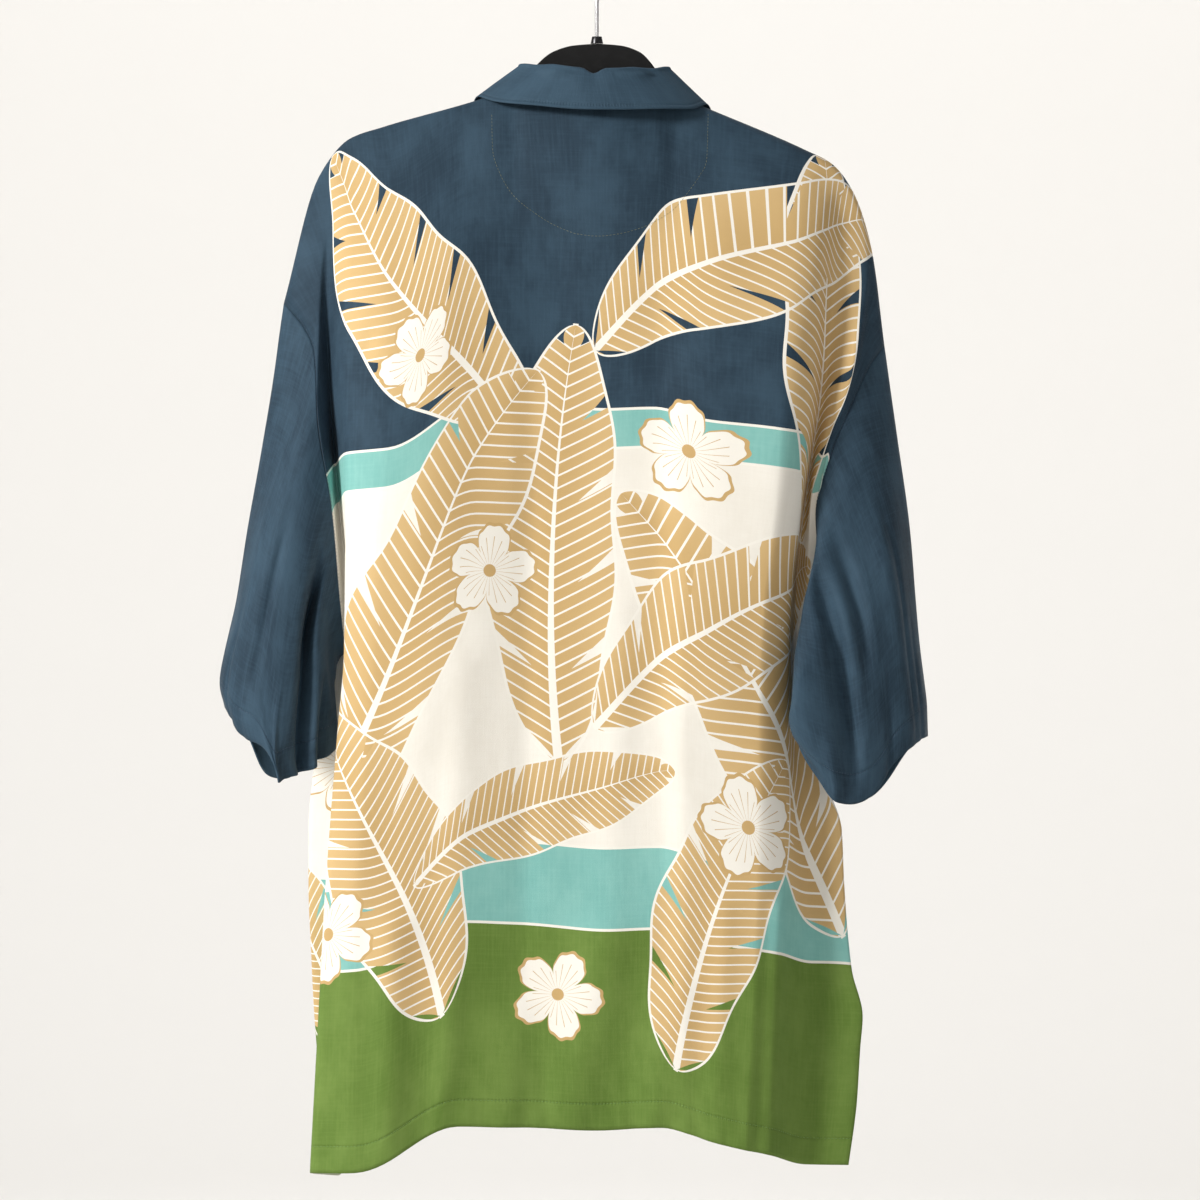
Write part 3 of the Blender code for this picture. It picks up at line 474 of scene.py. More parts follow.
def share_normals(sheets: Sequence[Sheet]) -> None:
    """Gives the points that several sheets have in common one normal.

    Args:
        sheets: the sheets. Body, sleeve and collar count equally where they meet.
    """
    sums: dict[tuple, dict[str, Array]] = {}
    keys = [np.round(sheet.points.reshape(-1, 3), 6) for sheet in sheets]
    for sheet, places in zip(sheets, keys):
        for place, normal in zip(map(tuple, places), sheet.normals.reshape(-1, 3)):
            groups = sums.setdefault(place, {})
            groups[sheet.group] = groups.get(sheet.group, 0) + normal
    for sheet, places in zip(sheets, keys):
        shared = [sum(unit(total) for total in sums[place].values())
                  for place in map(tuple, places)]
        sheet.normals = unit(np.array(shared)).reshape(sheet.points.shape)


# --- the body's panels


@dataclass(frozen=True)
class Rows:
    """The rows that every body panel shares, as shares of the way from ridge to hem."""

    ridge: tuple[float, ...] = (0.0, 0.0004, 0.001, 0.002, 0.0035, 0.005, 0.007)
    armhole: float = 0.4
    armhole_cells: int = 84
    skirt_cells: int = 126
    fade_end: float = 0.12

    def shares(self) -> Array:
        """Returns the share of every row."""
        upper = np.linspace(self.ridge[-1], self.armhole, self.armhole_cells + 1)[1:]
        lower = np.linspace(self.armhole, 1.0, self.skirt_cells + 1)[1:]
        return np.concatenate([self.ridge, upper, lower])

    def underarm(self) -> int:
        """Returns the row at the bottom of the armhole."""
        return len(self.ridge) - 1 + self.armhole_cells

    def base(self) -> int:
        """Returns the row whose widths are the cut's widths."""
        return self.underarm() + self.skirt_cells // 2


@dataclass(frozen=True)
class Panel:
    """A body panel between a side seam and its far edge, laid out from its lines."""

    seam: Seam
    lines: tuple[Line, ...]
    folds: tuple[Fold, ...]
    facing: int
    flipped: bool
    seed: int
    far_seam: Seam | None = None
    far_place: float = 0.0
    rows: Rows = Rows()
    seam_cells: int = 2
    fineness: int = 5
    armhole_depth: float = 38.0
    armhole_rounding: float = 0.5
    edge_fade: float = 14.0
    crumple_length: float = 46.0
    crumple_height: float = 0.55
    crumple_draw: float = 0.28
    ripple_length: float = 17.0
    ripple_height: float = 0.5
    ripple_draw: float = 0.5
    hem_line: float = 22.0
    hem_reach: float = 20.0
    edge_ripple: float = 0.5
    edge_reach: float = 10.0
    smooth_yoke: tuple[float, float] = (0.02, 0.10)

    def line_points(self, line: Line) -> Array:
        """Returns one line at every row: (across, depth, height) in millimetres."""
        table = np.array(line.stations, float)
        heights = table[0, 0] + self.rows.shares() * (table[-1, 0] - table[0, 0])
        across, depth = smooth_through(-table[:, 0], table[:, 1:], -heights).T
        if line.ridge:
            below = np.clip((table[0, 0] - heights) / line.ridge, 0, 1)
            depth = depth + line.ridge * np.sqrt(1 - (1 - below) ** 2)
        return np.stack([across, depth, heights], axis=1)

    def seam_points(self, seam: Seam) -> Array:
        """Returns a side seam, opened above the underarm to the armhole's half depth."""
        table = np.array(seam.stations, float)
        shares = self.rows.shares()
        heights = seam.top + shares * (seam.hem - seam.top)
        across = smooth_through(-table[:, 0], table[:, 1], -heights)[:, 0]
        turn = np.clip(np.sin(np.pi * np.clip(shares / self.rows.armhole, 0, 1)), 0, 1)
        depth = self.armhole_depth * turn**self.armhole_rounding
        depth[self.rows.underarm():] = 0.0
        return np.stack([across, depth, heights], axis=1)

    def fold_height(self, grid: Array, fold: Fold) -> Array:
        """Returns how far one fold lifts each point, in millimetres."""
        start = np.array(fold.start, float)
        run = np.array(fold.end, float) - start
        place = grid[..., [0, 2]] - start
        along = np.clip(place @ run / (run @ run), 0, 1)
        away = np.linalg.norm(place - along[..., None] * run, axis=-1) / fold.half_width
        return fold.height * np.exp(-away**2)

    def small_waves(self, flat: Array) -> Array:
        """Returns the cloth's own unevenness: soft crumples, and ripples above the hem."""
        across, up = flat[..., 0] / MM, flat[..., 1] / MM
        soft = crumple(across, up * self.crumple_draw, self.crumple_length, self.seed)
        near_hem = (np.exp(-((up - self.hem_line) / self.hem_reach) ** 2)
                    + self.edge_ripple * np.exp(-(up / self.edge_reach) ** 2))
        ripples = crumple(across, up * self.ripple_draw, self.ripple_length, self.seed + 1)
        waves = soft * self.crumple_height + ripples * near_hem * self.ripple_height
        return waves * smoothstep(*self.smooth_yoke, self.rows.shares())[:, None]

    def sheet(self, shoulder: Array | None = None) -> Sheet:
        """Lays the panel out.

        Args:
            shoulder: the back's points along the shoulder, which a front starts from.

        Returns:
            The panel's sheet of cloth.
        """
        profiles = [self.seam_points(self.seam)] + [self.line_points(line) for line in self.lines]
        places = [0.0] + [line.place for line in self.lines]
        cells = [self.seam_cells] + [line.cells for line in self.lines]
        if self.far_seam:
            profiles.append(self.seam_points(self.far_seam))
            places.append(self.far_place)
        columns = [np.linspace(a, b, count * self.fineness, endpoint=False)
                   for a, b, count in zip(places[:-1], places[1:], cells)]
        columns = np.concatenate(columns + [[places[-1]]])
        stacked = np.stack(profiles)
        grid = np.stack([smooth_through(places, stacked[:, row], columns)
                         for row in range(stacked.shape[1])])
        flat = flat_places(grid * MM, self.rows.base())
        lift = sum(self.fold_height(grid, fold) for fold in self.folds)
        lift = lift + self.small_waves(flat)
        edge = smoothstep(0.0, self.edge_fade, columns)
        if self.far_seam:
            edge = edge * smoothstep(0.0, self.edge_fade, places[-1] - columns)
        lift = lift * edge[None, :]
        lift[0] = 0.0
        grid[..., 1] = (grid[..., 1] + lift) * self.facing
        points = grid * MM
        if shoulder is not None:
            fade = 1 - smoothstep(self.rows.ridge[-1], self.rows.fade_end, self.rows.shares())
            points = points + (shoulder - points[0]) * fade[:, None, None]
        return Sheet(points, flat, False, self.flipped, "body")

    def column_of(self, name: str) -> int:
        """Returns the column that a named line runs down."""
        names = [line.name for line in self.lines]
        before = self.lines[:names.index(name)]
        return (self.seam_cells + sum(line.cells for line in before)) * self.fineness


# --- sleeves


@dataclass
class SleeveShape:
    """A sleeve: rings from the armhole to the cuff between its two seam lines."""

    top: Table
    under: Table
    half_depth: tuple[float, ...]
    droop: tuple[float, ...]
    phase: float
    creases: tuple[Crease, ...]
    pulls: tuple[Pull, ...]
    flipped: bool
    group: str
    seed: int
    stations: tuple[float, ...] = (0.0, 0.25, 0.5, 0.75, 0.93, 1.0)
    rings: int = 84
    lean: float = 0.35
    fade: float = 0.3
    crumple_spread: tuple[float, float] = (80.0, 30.0)
    crumple_length: float = 42.0
    crumple_height: float = 0.8
    ripple_spread: float = 200.0
    ripple_length: float = 19.0
    ripple_height: float = 0.45
    wave_draw: float = 0.4
    hem_height: float = 25.0
    hem_reach: float = 18.0
    smooth_armhole: float = 0.12

    def away(self, angle: Array, middle: float, half_width: float) -> Array:
        """Returns how far each angle lies from a middle one, in half widths."""
        return np.abs((np.degrees(angle) - middle + 180) % 360 - 180) / half_width

    def ring(self, share: float, angle: Array) -> Track:
        """Returns a ring's points and its outward directions, in millimetres."""
        top, under, (half_depth,), (droop,) = (
            smooth_through(self.stations, table, share)[0]
            for table in (self.top, self.under, self.half_depth, self.droop))
        centre, arm = (top + under) / 2, (top - under) / 2
        cosine, sine = np.cos(angle), np.sin(angle)
        lowest = np.sin(angle - math.radians(self.phase) * np.sign(sine)) ** 2
        points = np.stack([centre[0] + arm[0] * cosine, -half_depth * sine,
                           centre[1] + arm[1] * cosine - droop * lowest * np.abs(sine)], axis=1)
        length = math.hypot(*arm)
        outward = unit(np.stack([arm[0] * cosine / length, -sine,
                                 self.lean * arm[1] * cosine / length], axis=1))
        for crease in self.creases:
            middle = crease.armhole_angle + share * (crease.cuff_angle - crease.armhole_angle)
            away = self.away(angle, middle, crease.half_width)
            strength = (smoothstep(crease.start, crease.start + self.fade, share)
                        * (1 - smoothstep(crease.end - self.fade, crease.end, share)))
            points += outward * (crease.height * strength * np.exp(-away**2))[:, None]
        for pull in self.pulls:
            away = self.away(angle, pull.angle, pull.half_width)
            strength = smoothstep(pull.start, pull.full, share) * np.exp(-away**2)
            points += strength[:, None] * np.array([pull.across, -pull.out, pull.rise])
        return points, outward

    def sheet(self, back_side: Array, front_side: Array, underarm: int) -> Sheet:
        """Lays the sleeve out from the armhole that the back and the front leave.

        Args:
            back_side: the back's side seam, row by row.
            front_side: the front's side seam, row by row.
            underarm: the row at the bottom of the armhole.

        Returns:
            The sleeve's sheet of cloth.
        """
        armhole = np.concatenate([back_side[:underarm + 1], front_side[underarm - 1:0:-1]])
        steps = np.linalg.norm(np.diff(armhole, axis=0, append=armhole[:1]), axis=1)
        angle = 2 * np.pi * np.concatenate([[0], np.cumsum(steps)[:-1]]) / steps.sum()
        half = angle[underarm]
        angle = np.where(angle <= half, angle * np.pi / half,
                         np.pi + (angle - half) * np.pi / (2 * np.pi - half))
        shares = np.linspace(0, 1, self.rings)
        made = [self.ring(share, angle) for share in shares]
        rings = np.stack([points for points, _ in made]) * MM
        outward = np.stack([direction for _, direction in made])
        rings = rings + (armhole - rings[0])[None] * ((1 - shares) ** 2)[:, None, None]
        flat = flat_places(rings, self.rings // 2)
        turn, face = np.sin(angle[None, :]), np.cos(angle)[None, :]
        up = flat[..., 1] / MM
        wave = crumple(self.crumple_spread[0] * turn + self.crumple_spread[1] * face,
                       up * self.wave_draw, self.crumple_length, self.seed)
        hem = np.exp(-((up - self.hem_height) / self.hem_reach) ** 2)
        ripple = crumple(self.ripple_spread * turn, up * self.wave_draw, self.ripple_length,
                         self.seed + 1)
        height = wave * self.crumple_height + ripple * hem * self.ripple_height
        height = height * smoothstep(0.0, self.smooth_armhole, shares)[:, None]
        return Sheet(rings + outward * height[..., None] * MM, flat, True, self.flipped, self.group)


LEFT_SLEEVE = SleeveShape(
    top=((-260, -300), (-272, -384), (-287, -470), (-299, -545), (-313, -615), (-309, -635)),
    under=((-208, -588), (-217, -600), (-222, -617), (-222, -637), (-220, -655), (-220, -663)),
    half_depth=(38, 50, 58, 62, 64, 64),
    droop=(0, 4, 12, 30, 44, 48),
    phase=5.0,
    creases=(
        Crease("long_crease", 108, 128, 7, -19.0, 0.12, 1.25),
        Crease("drooping_fold", 140, 150, 16, 8.0, 0.2, 0.95),
        Crease("outer_face", 40, 45, 24, 4.0, 0.2, 1.1),
        Crease("front_crease", 250, 240, 12, -10.0, 0.15, 1.1),
        Crease("under_pull", 122, 108, 4, -4.0, 0.05, 0.8),
        Crease("elbow_pull", 70, 60, 5, -3.2, 0.25, 0.95),
        Crease("front_pull", 290, 300, 6, 2.0, 0.2, 1.0),
        Crease("cuff_pull_outer", 30, 36, 3, -2.2, 0.62, 1.2),
        Crease("cuff_pull", 58, 52, 3, -2.6, 0.70, 1.3),
        Crease("cuff_pull_low", 84, 92, 3, 2.4, 0.66, 1.3),
        Crease("cuff_pull_inner", 148, 146, 5, -8.0, 0.45, 1.3),
        Crease("cuff_curl", 172, 168, 11, 8.0, 0.1, 1.2),
    ),
    pulls=(Pull(290, 14, 0.7, 1.0, -1.0, 2.0, -8.0), Pull(66, 11, 0.75, 1.0, 6.0, 2.0, 9.0),
           Pull(205, 22, 0.2, 0.7, -8.0, 0.0, 0.0), Pull(234, 24, 0.6, 1.0, -2.0, 0.0, 11.0),
           Pull(134, 12, 0.6, 1.0, 3.0, 6.0, -6.0), Pull(108, 12, 0.6, 1.0, -5.0, 0.0, 4.0),
           Pull(80, 13, 0.8, 1.0, 8.0, 4.0, 4.0), Pull(154, 15, 0.6, 1.0, 1.0, 2.0, -8.0)),
    flipped=False, group="sleeve_left", seed=21)
RIGHT_SLEEVE = SleeveShape(
    top=((238.6, -335), (250, -415), (260, -490), (267, -575), (274, -640), (274.6, -659)),
    under=((184, -606), (195, -618), (200, -634), (198, -650), (193, -664), (190, -668)),
    half_depth=(38, 50, 60, 64, 66, 66),
    droop=(0, 4, 12, 30, 46, 50),
    phase=14.0,
    creases=(
        Crease("inner_fold", 138, 142, 26, 26.0, 0.2, 1.35),
        Crease("long_crease", 104, 100, 6, -13.0, 0.1, 1.0),
        Crease("short_crease", 84, 84, 5, -8.0, 0.1, 0.75),
        Crease("pale_ridge", 55, 52, 12, 5.0, 0.2, 1.2),
        Crease("front_crease", 250, 245, 12, -10.0, 0.15, 1.1),
        Crease("ridge_edge", 44, 42, 4, -3.2, 0.25, 1.1),
        Crease("front_pull", 295, 300, 6, 2.0, 0.2, 1.0),
        Crease("cuff_pull_outer", 26, 30, 3, -2.0, 0.6, 1.2),
        Crease("cuff_pull", 66, 70, 3, -2.4, 0.68, 1.3),
        Crease("cuff_pull_low", 118, 112, 4, 2.6, 0.62, 1.3),
    ),
    pulls=(Pull(120, 38, -0.05, 0.2, -21.0, 20.0, 0.0), Pull(158, 20, 0.5, 1.0, -4.0, 6.0, 20.0),
           Pull(62, 20, 0.55, 1.0, -4.0, 0.0, 9.0), Pull(136, 28, 0.0, 0.38, -21.0, 0.0, 0.0),
           Pull(136, 28, 0.6, 1.0, 21.0, 0.0, 0.0), Pull(134, 16, 0.75, 1.0, 11.0, 0.0, 0.0)),
    flipped=True, group="sleeve_right", seed=31)


# --- collar


@dataclass(frozen=True)
class CollarShape:
    """The collar: up the neck seam, over the fold and down the fall.

    Each station is a share (-1 the left front end, -0.5 and 0.5 the shoulder seams, 0 the
    centre back), the fold's place from the neck seam, and the outer edge's own place.
    """

    stations: tuple[tuple, ...] = (
        (-1.0, (5, 1, 7), (-86, 38, -198)),
        (-0.75, (8, 0, 12), (-107, 19, -160)),
        (-0.5, (11, -1, 18), (-99, 0, -128.5)),
        (-0.36, (9, 2, 22), (-84, -17, -134)),
        (-0.2, (3, 3, 26), (-48, -30, -138.5)),
        (-0.07, (1, 3, 26), (-17, -34.5, -141.5)),
        (0.0, (0, 3, 21.5), (0, -36, -142)),
        (0.07, (-1, 3, 26), (17, -34.5, -142)),
        (0.2, (-3, 3, 26), (48, -30, -141)),
        (0.36, (-7, 2, 23), (78, -17, -140)),
        (0.5, (-9, -1, 21), (91, 0, -135)),
        (0.75, (-8, 0, 13), (100, 19, -166)),
        (1.0, (-5, 1, 7), (82, 38, -202)),
    )
    end_share: float = 0.08
    stand_rows: int = 8
    fall_rows: int = 16
    fold_radius: float = 2.0
    fold_steps: int = 9
    clearance: float = 1.0
    bow_height: float = 0.5
    bow_least: float = 0.5
    wave_length: float = 70.0
    wave_run: float = 20.0
    seed: int = 41

    def stand_off(self, points: Array, tree: BVHTree) -> Array:
        """Moves the points out until they clear the panels beneath."""
        moved = []
        for point in points:
            place, normal, _, _ = tree.find_nearest(Vector(point))
            height = (Vector(point) - place).dot(normal)
            moved.append(point + np.array(normal) * max(0.0, self.clearance * MM - height))
        return np.array(moved)

    def sheet(self, neck: Array, marks: tuple[int, int], tree: BVHTree) -> Sheet:
        """Lays the collar out along the neck seam.

        Args:
            neck: the neck seam's points, from the left front end to the right one.
            marks: where in them the two shoulder seams are.
            tree: the body's outer faces.

        Returns:
            The collar's sheet of cloth.
        """
        length = distance_along(neck)
        share = np.interp(length, [0, length[marks[0]], length[marks[1]], length[-1]],
                          (-1, -0.5, 0.5, 1))
        places, lifts, edges = zip(*self.stations)
        lift = smooth_through(places, lifts, share) * MM
        outer = smooth_through(places, edges, share) * MM
        fold, radius = neck + lift, self.fold_radius * MM
        rows = [neck + lift * step / self.stand_rows for step in range(self.stand_rows)]
        away, up = unit((outer - fold) * (1, 1, 0)), np.array([0, 0, 1.0])
        for bend in np.linspace(0, math.pi, self.fold_steps):
            rows.append(fold + away * radius * (1 - math.cos(bend)) + up * radius * math.sin(bend))
        start = fold + away * 2 * radius
        for step in range(1, self.fall_rows + 1):
            portion = step / self.fall_rows
            waves = crumple(length / MM, np.full(len(length), portion * self.wave_run),
                            self.wave_length, self.seed)
            bow = away * self.bow_height * MM * math.sin(math.pi * portion) * (
                self.bow_least + waves)[:, None]
            rows.append(self.stand_off(start + (outer - start) * portion + bow, tree))
        return Sheet(np.stack(rows), flat_places(np.stack(rows), len(rows) - 1), False, True,
                     "collar")


# --- finishes


FLOAT, COLOUR, VECTOR = "NodeSocketFloat", "NodeSocketColor", "NodeSocketVector"


class Ground(Enum):
    """What a cloth is printed or dyed with."""

    PRINTED = "printed"
    NAVY = "navy"


@dataclass(frozen=True)
class Palette:
    """The shirt's dyes, as linear colours."""

    navy: Colour = (0.015, 0.034, 0.056)
    navy_worn: Colour = (0.043, 0.086, 0.130)
    green: Colour = (0.112, 0.196, 0.032)
    green_pale: Colour = (0.190, 0.290, 0.066)
    aqua: Colour = (0.195, 0.465, 0.430)
    aqua_pale: Colour = (0.290, 0.580, 0.530)
    cream: Colour = (0.880, 0.850, 0.780)
    cream_shade: Colour = (0.800, 0.760, 0.680)
    tan: Colour = (0.560, 0.375, 0.160)
    tan_pale: Colour = (0.635, 0.440, 0.205)


PALETTE = Palette()


@dataclass(frozen=True)
class Grain:
    """A noise over the flat cloth: its stretch both ways, its scale, detail and roughness."""

    across: float
    up: float
    scale: float
    detail: float
    roughness: float


CLOUDS = Grain(1.0, 0.6, 17.0, 5.0, 0.68)
WARP_SLUBS = Grain(1.0, 0.045, 480.0, 3.0, 0.7)
WEFT_SLUBS = Grain(0.05, 1.0, 520.0, 2.0, 0.6)
WARP_RELIEF = Grain(1.0, 0.04, 900.0, 2.0, 0.6)
WEFT_RELIEF = Grain(0.05, 1.0, 700.0, 2.0, 0.6)


class Signal:
    """A number, colour or place in a node tree, which formulas are written with."""

    def __init__(self, draw: NodeSketch, socket: bpy.types.NodeSocket) -> None:
        """Keeps the socket and the sketch that it is in."""
        self.draw = draw
        self.socket = socket

    def math(self, operation: str, *others: object) -> Signal:
        """Returns what a math node makes of this and the others."""
        return self.draw.math(operation, self, *others)

    def __add__(self, other: object) -> Signal:
        """Returns the sum."""
        return self.math("ADD", other)

    def __sub__(self, other: object) -> Signal:
        """Returns this less the other."""
        return self.math("SUBTRACT", other)

    def __rsub__(self, other: float) -> Signal:
        """Returns the other less this."""
        return self.draw.math("SUBTRACT", other, self)

    def __mul__(self, other: object) -> Signal:
        """Returns the product."""
        return self.math("MULTIPLY", other)

    def __truediv__(self, other: object) -> Signal:
        """Returns this over the other."""
        return self.math("DIVIDE", other)

    def __pow__(self, other: float) -> Signal:
        """Returns this to a power."""
        return self.math("POWER", other)

    def __lt__(self, other: object) -> Signal:
        """Returns 1 where this is less than the other, and 0 elsewhere."""
        return self.math("LESS_THAN", other)

    def __gt__(self, other: object) -> Signal:
        """Returns 1 where this is more than the other, and 0 elsewhere."""
        return self.math("GREATER_THAN", other)

    def __abs__(self) -> Signal:
        """Returns the size without the sign."""
        return self.math("ABSOLUTE")

    def sine(self) -> Signal:
        """Returns the sine."""
        return self.math("SINE")

    def fraction(self) -> Signal:
        """Returns the part after the point, so a pattern repeats."""
        return self.math("FRACT")

    def at_least(self, other: object) -> Signal:
        """Returns the larger of the two."""
        return self.math("MAXIMUM", other)

    def eased(self, low: float, high: float) -> Signal:
        """Returns an eased 0 to 1 as this passes from low to high."""
        return self.draw.output("ShaderNodeMapRange", 0, self, low, high, 0.0, 1.0,
                                interpolation_type="SMOOTHSTEP")

    def parts(self) -> tuple[Signal, Signal]:
        """Returns a place's first two parts: across and up."""
        node = self.draw.add("ShaderNodeSeparateXYZ", self)
        return Signal(self.draw, node.outputs[0]), Signal(self.draw, node.outputs[1])

    def noise(self, scale: float, detail: float, roughness: float = 0.5) -> Signal:
        """Returns a noise over this place."""
        node = self.draw.add("ShaderNodeTexNoise", self)
        node.inputs["Scale"].default_value = scale
        node.inputs["Detail"].default_value = detail
        node.inputs["Roughness"].default_value = roughness
        return Signal(self.draw, node.outputs[0])

    def grain(self, grain: Grain) -> Signal:
        """Returns a grain over this place."""
        stretched = self.draw.output("ShaderNodeVectorMath", 0, self,
                                     (grain.across, grain.up, 1.0), operation="MULTIPLY")
        return stretched.noise(grain.scale, grain.detail, grain.roughness)


class NodeSketch:
    """A node tree being drawn: short calls that add a node and join its sockets."""

    def __init__(self, tree: NodeTree) -> None:
        """Keeps the tree that the nodes go into."""
        self.tree = tree

    def join(self, source: object, target: bpy.types.NodeSocket) -> None:
        """Feeds a socket from a signal, or sets it to a value."""
        if isinstance(source, Signal):
            self.tree.links.new(source.socket, target)
        elif isinstance(target, bpy.types.NodeSocketColor):
            target.default_value = (*source, 1.0)
        else:
            target.default_value = source

    def add(self, kind: str, *sources: object, **settings: object) -> bpy.types.Node:
        """Adds a node with its settings and feeds its first sockets in order."""
        at = len(self.tree.nodes)
        node = self.tree.nodes.new(kind)
        node.location = (180 * (at % 12), -220 * (at // 12))
        for name, value in settings.items():
            setattr(node, name, value)
        for source, socket in zip(sources, node.inputs):
            self.join(source, socket)
        return node

    def output(self, kind: str, which: int | str, *sources: object, **settings: object) -> Signal:
        """Adds a node as add does and returns one of its outputs."""
        return Signal(self, self.add(kind, *sources, **settings).outputs[which])

    def math(self, operation: str, *values: object) -> Signal:
        """Adds a math node and returns its value."""
        return self.output("ShaderNodeMath", 0, *values, operation=operation)

    def mix(self, share: object, under: object, over: object) -> Signal:
        """Adds a mix of two colours and returns its colour."""
        node = self.add("ShaderNodeMix", share, data_type="RGBA")
        self.join(under, node.inputs[6])
        self.join(over, node.inputs[7])
        return Signal(self, node.outputs[2])

    def place(self, group: NodeTree, **values: object) -> list[Signal]:
        """Places a group, with its inputs by name, and returns its outputs."""
        node = self.add("ShaderNodeGroup", node_tree=group)
        for name, value in values.items():
            self.join(value, node.inputs[name.capitalize()])
        return [Signal(self, socket) for socket in node.outputs]


class GroupSketch(NodeSketch):
    """A shader node group being drawn."""

    def __init__(self, name: str, inputs: dict[str, str], outputs: dict[str, str]) -> None:
        """Starts the group.

        Args:
            name: the group's name.
            inputs: the socket type of each input.
            outputs: the socket type of each output.
        """
        super().__init__(bpy.data.node_groups.new(name, "ShaderNodeTree"))
        for sockets, way in ((inputs, "INPUT"), (outputs, "OUTPUT")):
            for label, kind in sockets.items():
                self.tree.interface.new_socket(label, in_out=way, socket_type=kind)
        start = self.add("NodeGroupInput")
        self.given = [Signal(self, start.outputs[label]) for label in inputs]

    def give(self, *results: Signal) -> NodeTree:
        """Feeds the group's outputs in order and returns its tree."""
        self.add("NodeGroupOutput", *results)
        return self.tree


class FinishSketch(NodeSketch):
    """A material being drawn round its surface shader."""

    def __init__(self, name: str) -> None:
        """Starts the material."""
        self.material = bpy.data.materials.new(name)
        self.material.use_nodes = True
        super().__init__(self.material.node_tree)
        self.shader = self.tree.nodes["Principled BSDF"]

    def relief(self, height: Signal, strength: float) -> Signal:
        """Returns the normal that a height in millimetres gives."""
        bump = self.add("ShaderNodeBump")
        bump.inputs["Strength"].default_value = strength
        bump.inputs["Distance"].default_value = MM
        self.join(height, bump.inputs["Height"])
        return Signal(self, bump.outputs[0])

    def give(self, surface: dict[str, object]) -> Material:
        """Feeds or sets the shader's inputs by name and returns the material."""
        for name, source in surface.items():
            self.join(source, self.shader.inputs[name])
        return self.material


@dataclass(frozen=True)
class LeafDrawing:
    """How a printed leaf is drawn, in shares of its length."""

    roundness: float = 0.62
    edge_waves: float = 19.0
    rib_slant: float = 0.55
    ribs: float = 34.0
    rib_width: float = 0.17
    tears: float = 5.3
    tear_start: float = 0.42
    tear_width: float = 0.30
    rim: float = 0.007
    rim_past_ends: float = 0.004
    midrib: float = 0.011


@dataclass(frozen=True)
class FlowerDrawing:
    """How a printed flower is drawn, in shares of its radius."""

    petals: int = 5
    petal_length: float = 0.58
    roundness: float = 0.55
    ruffles: float = 23.0
    ruffle_depth: float = 0.02
    rim_start: float = 0.93
    rays: float = 12.5
    ray_width: float = 0.13
    ray_end: float = 0.72
    heart: float = 0.13


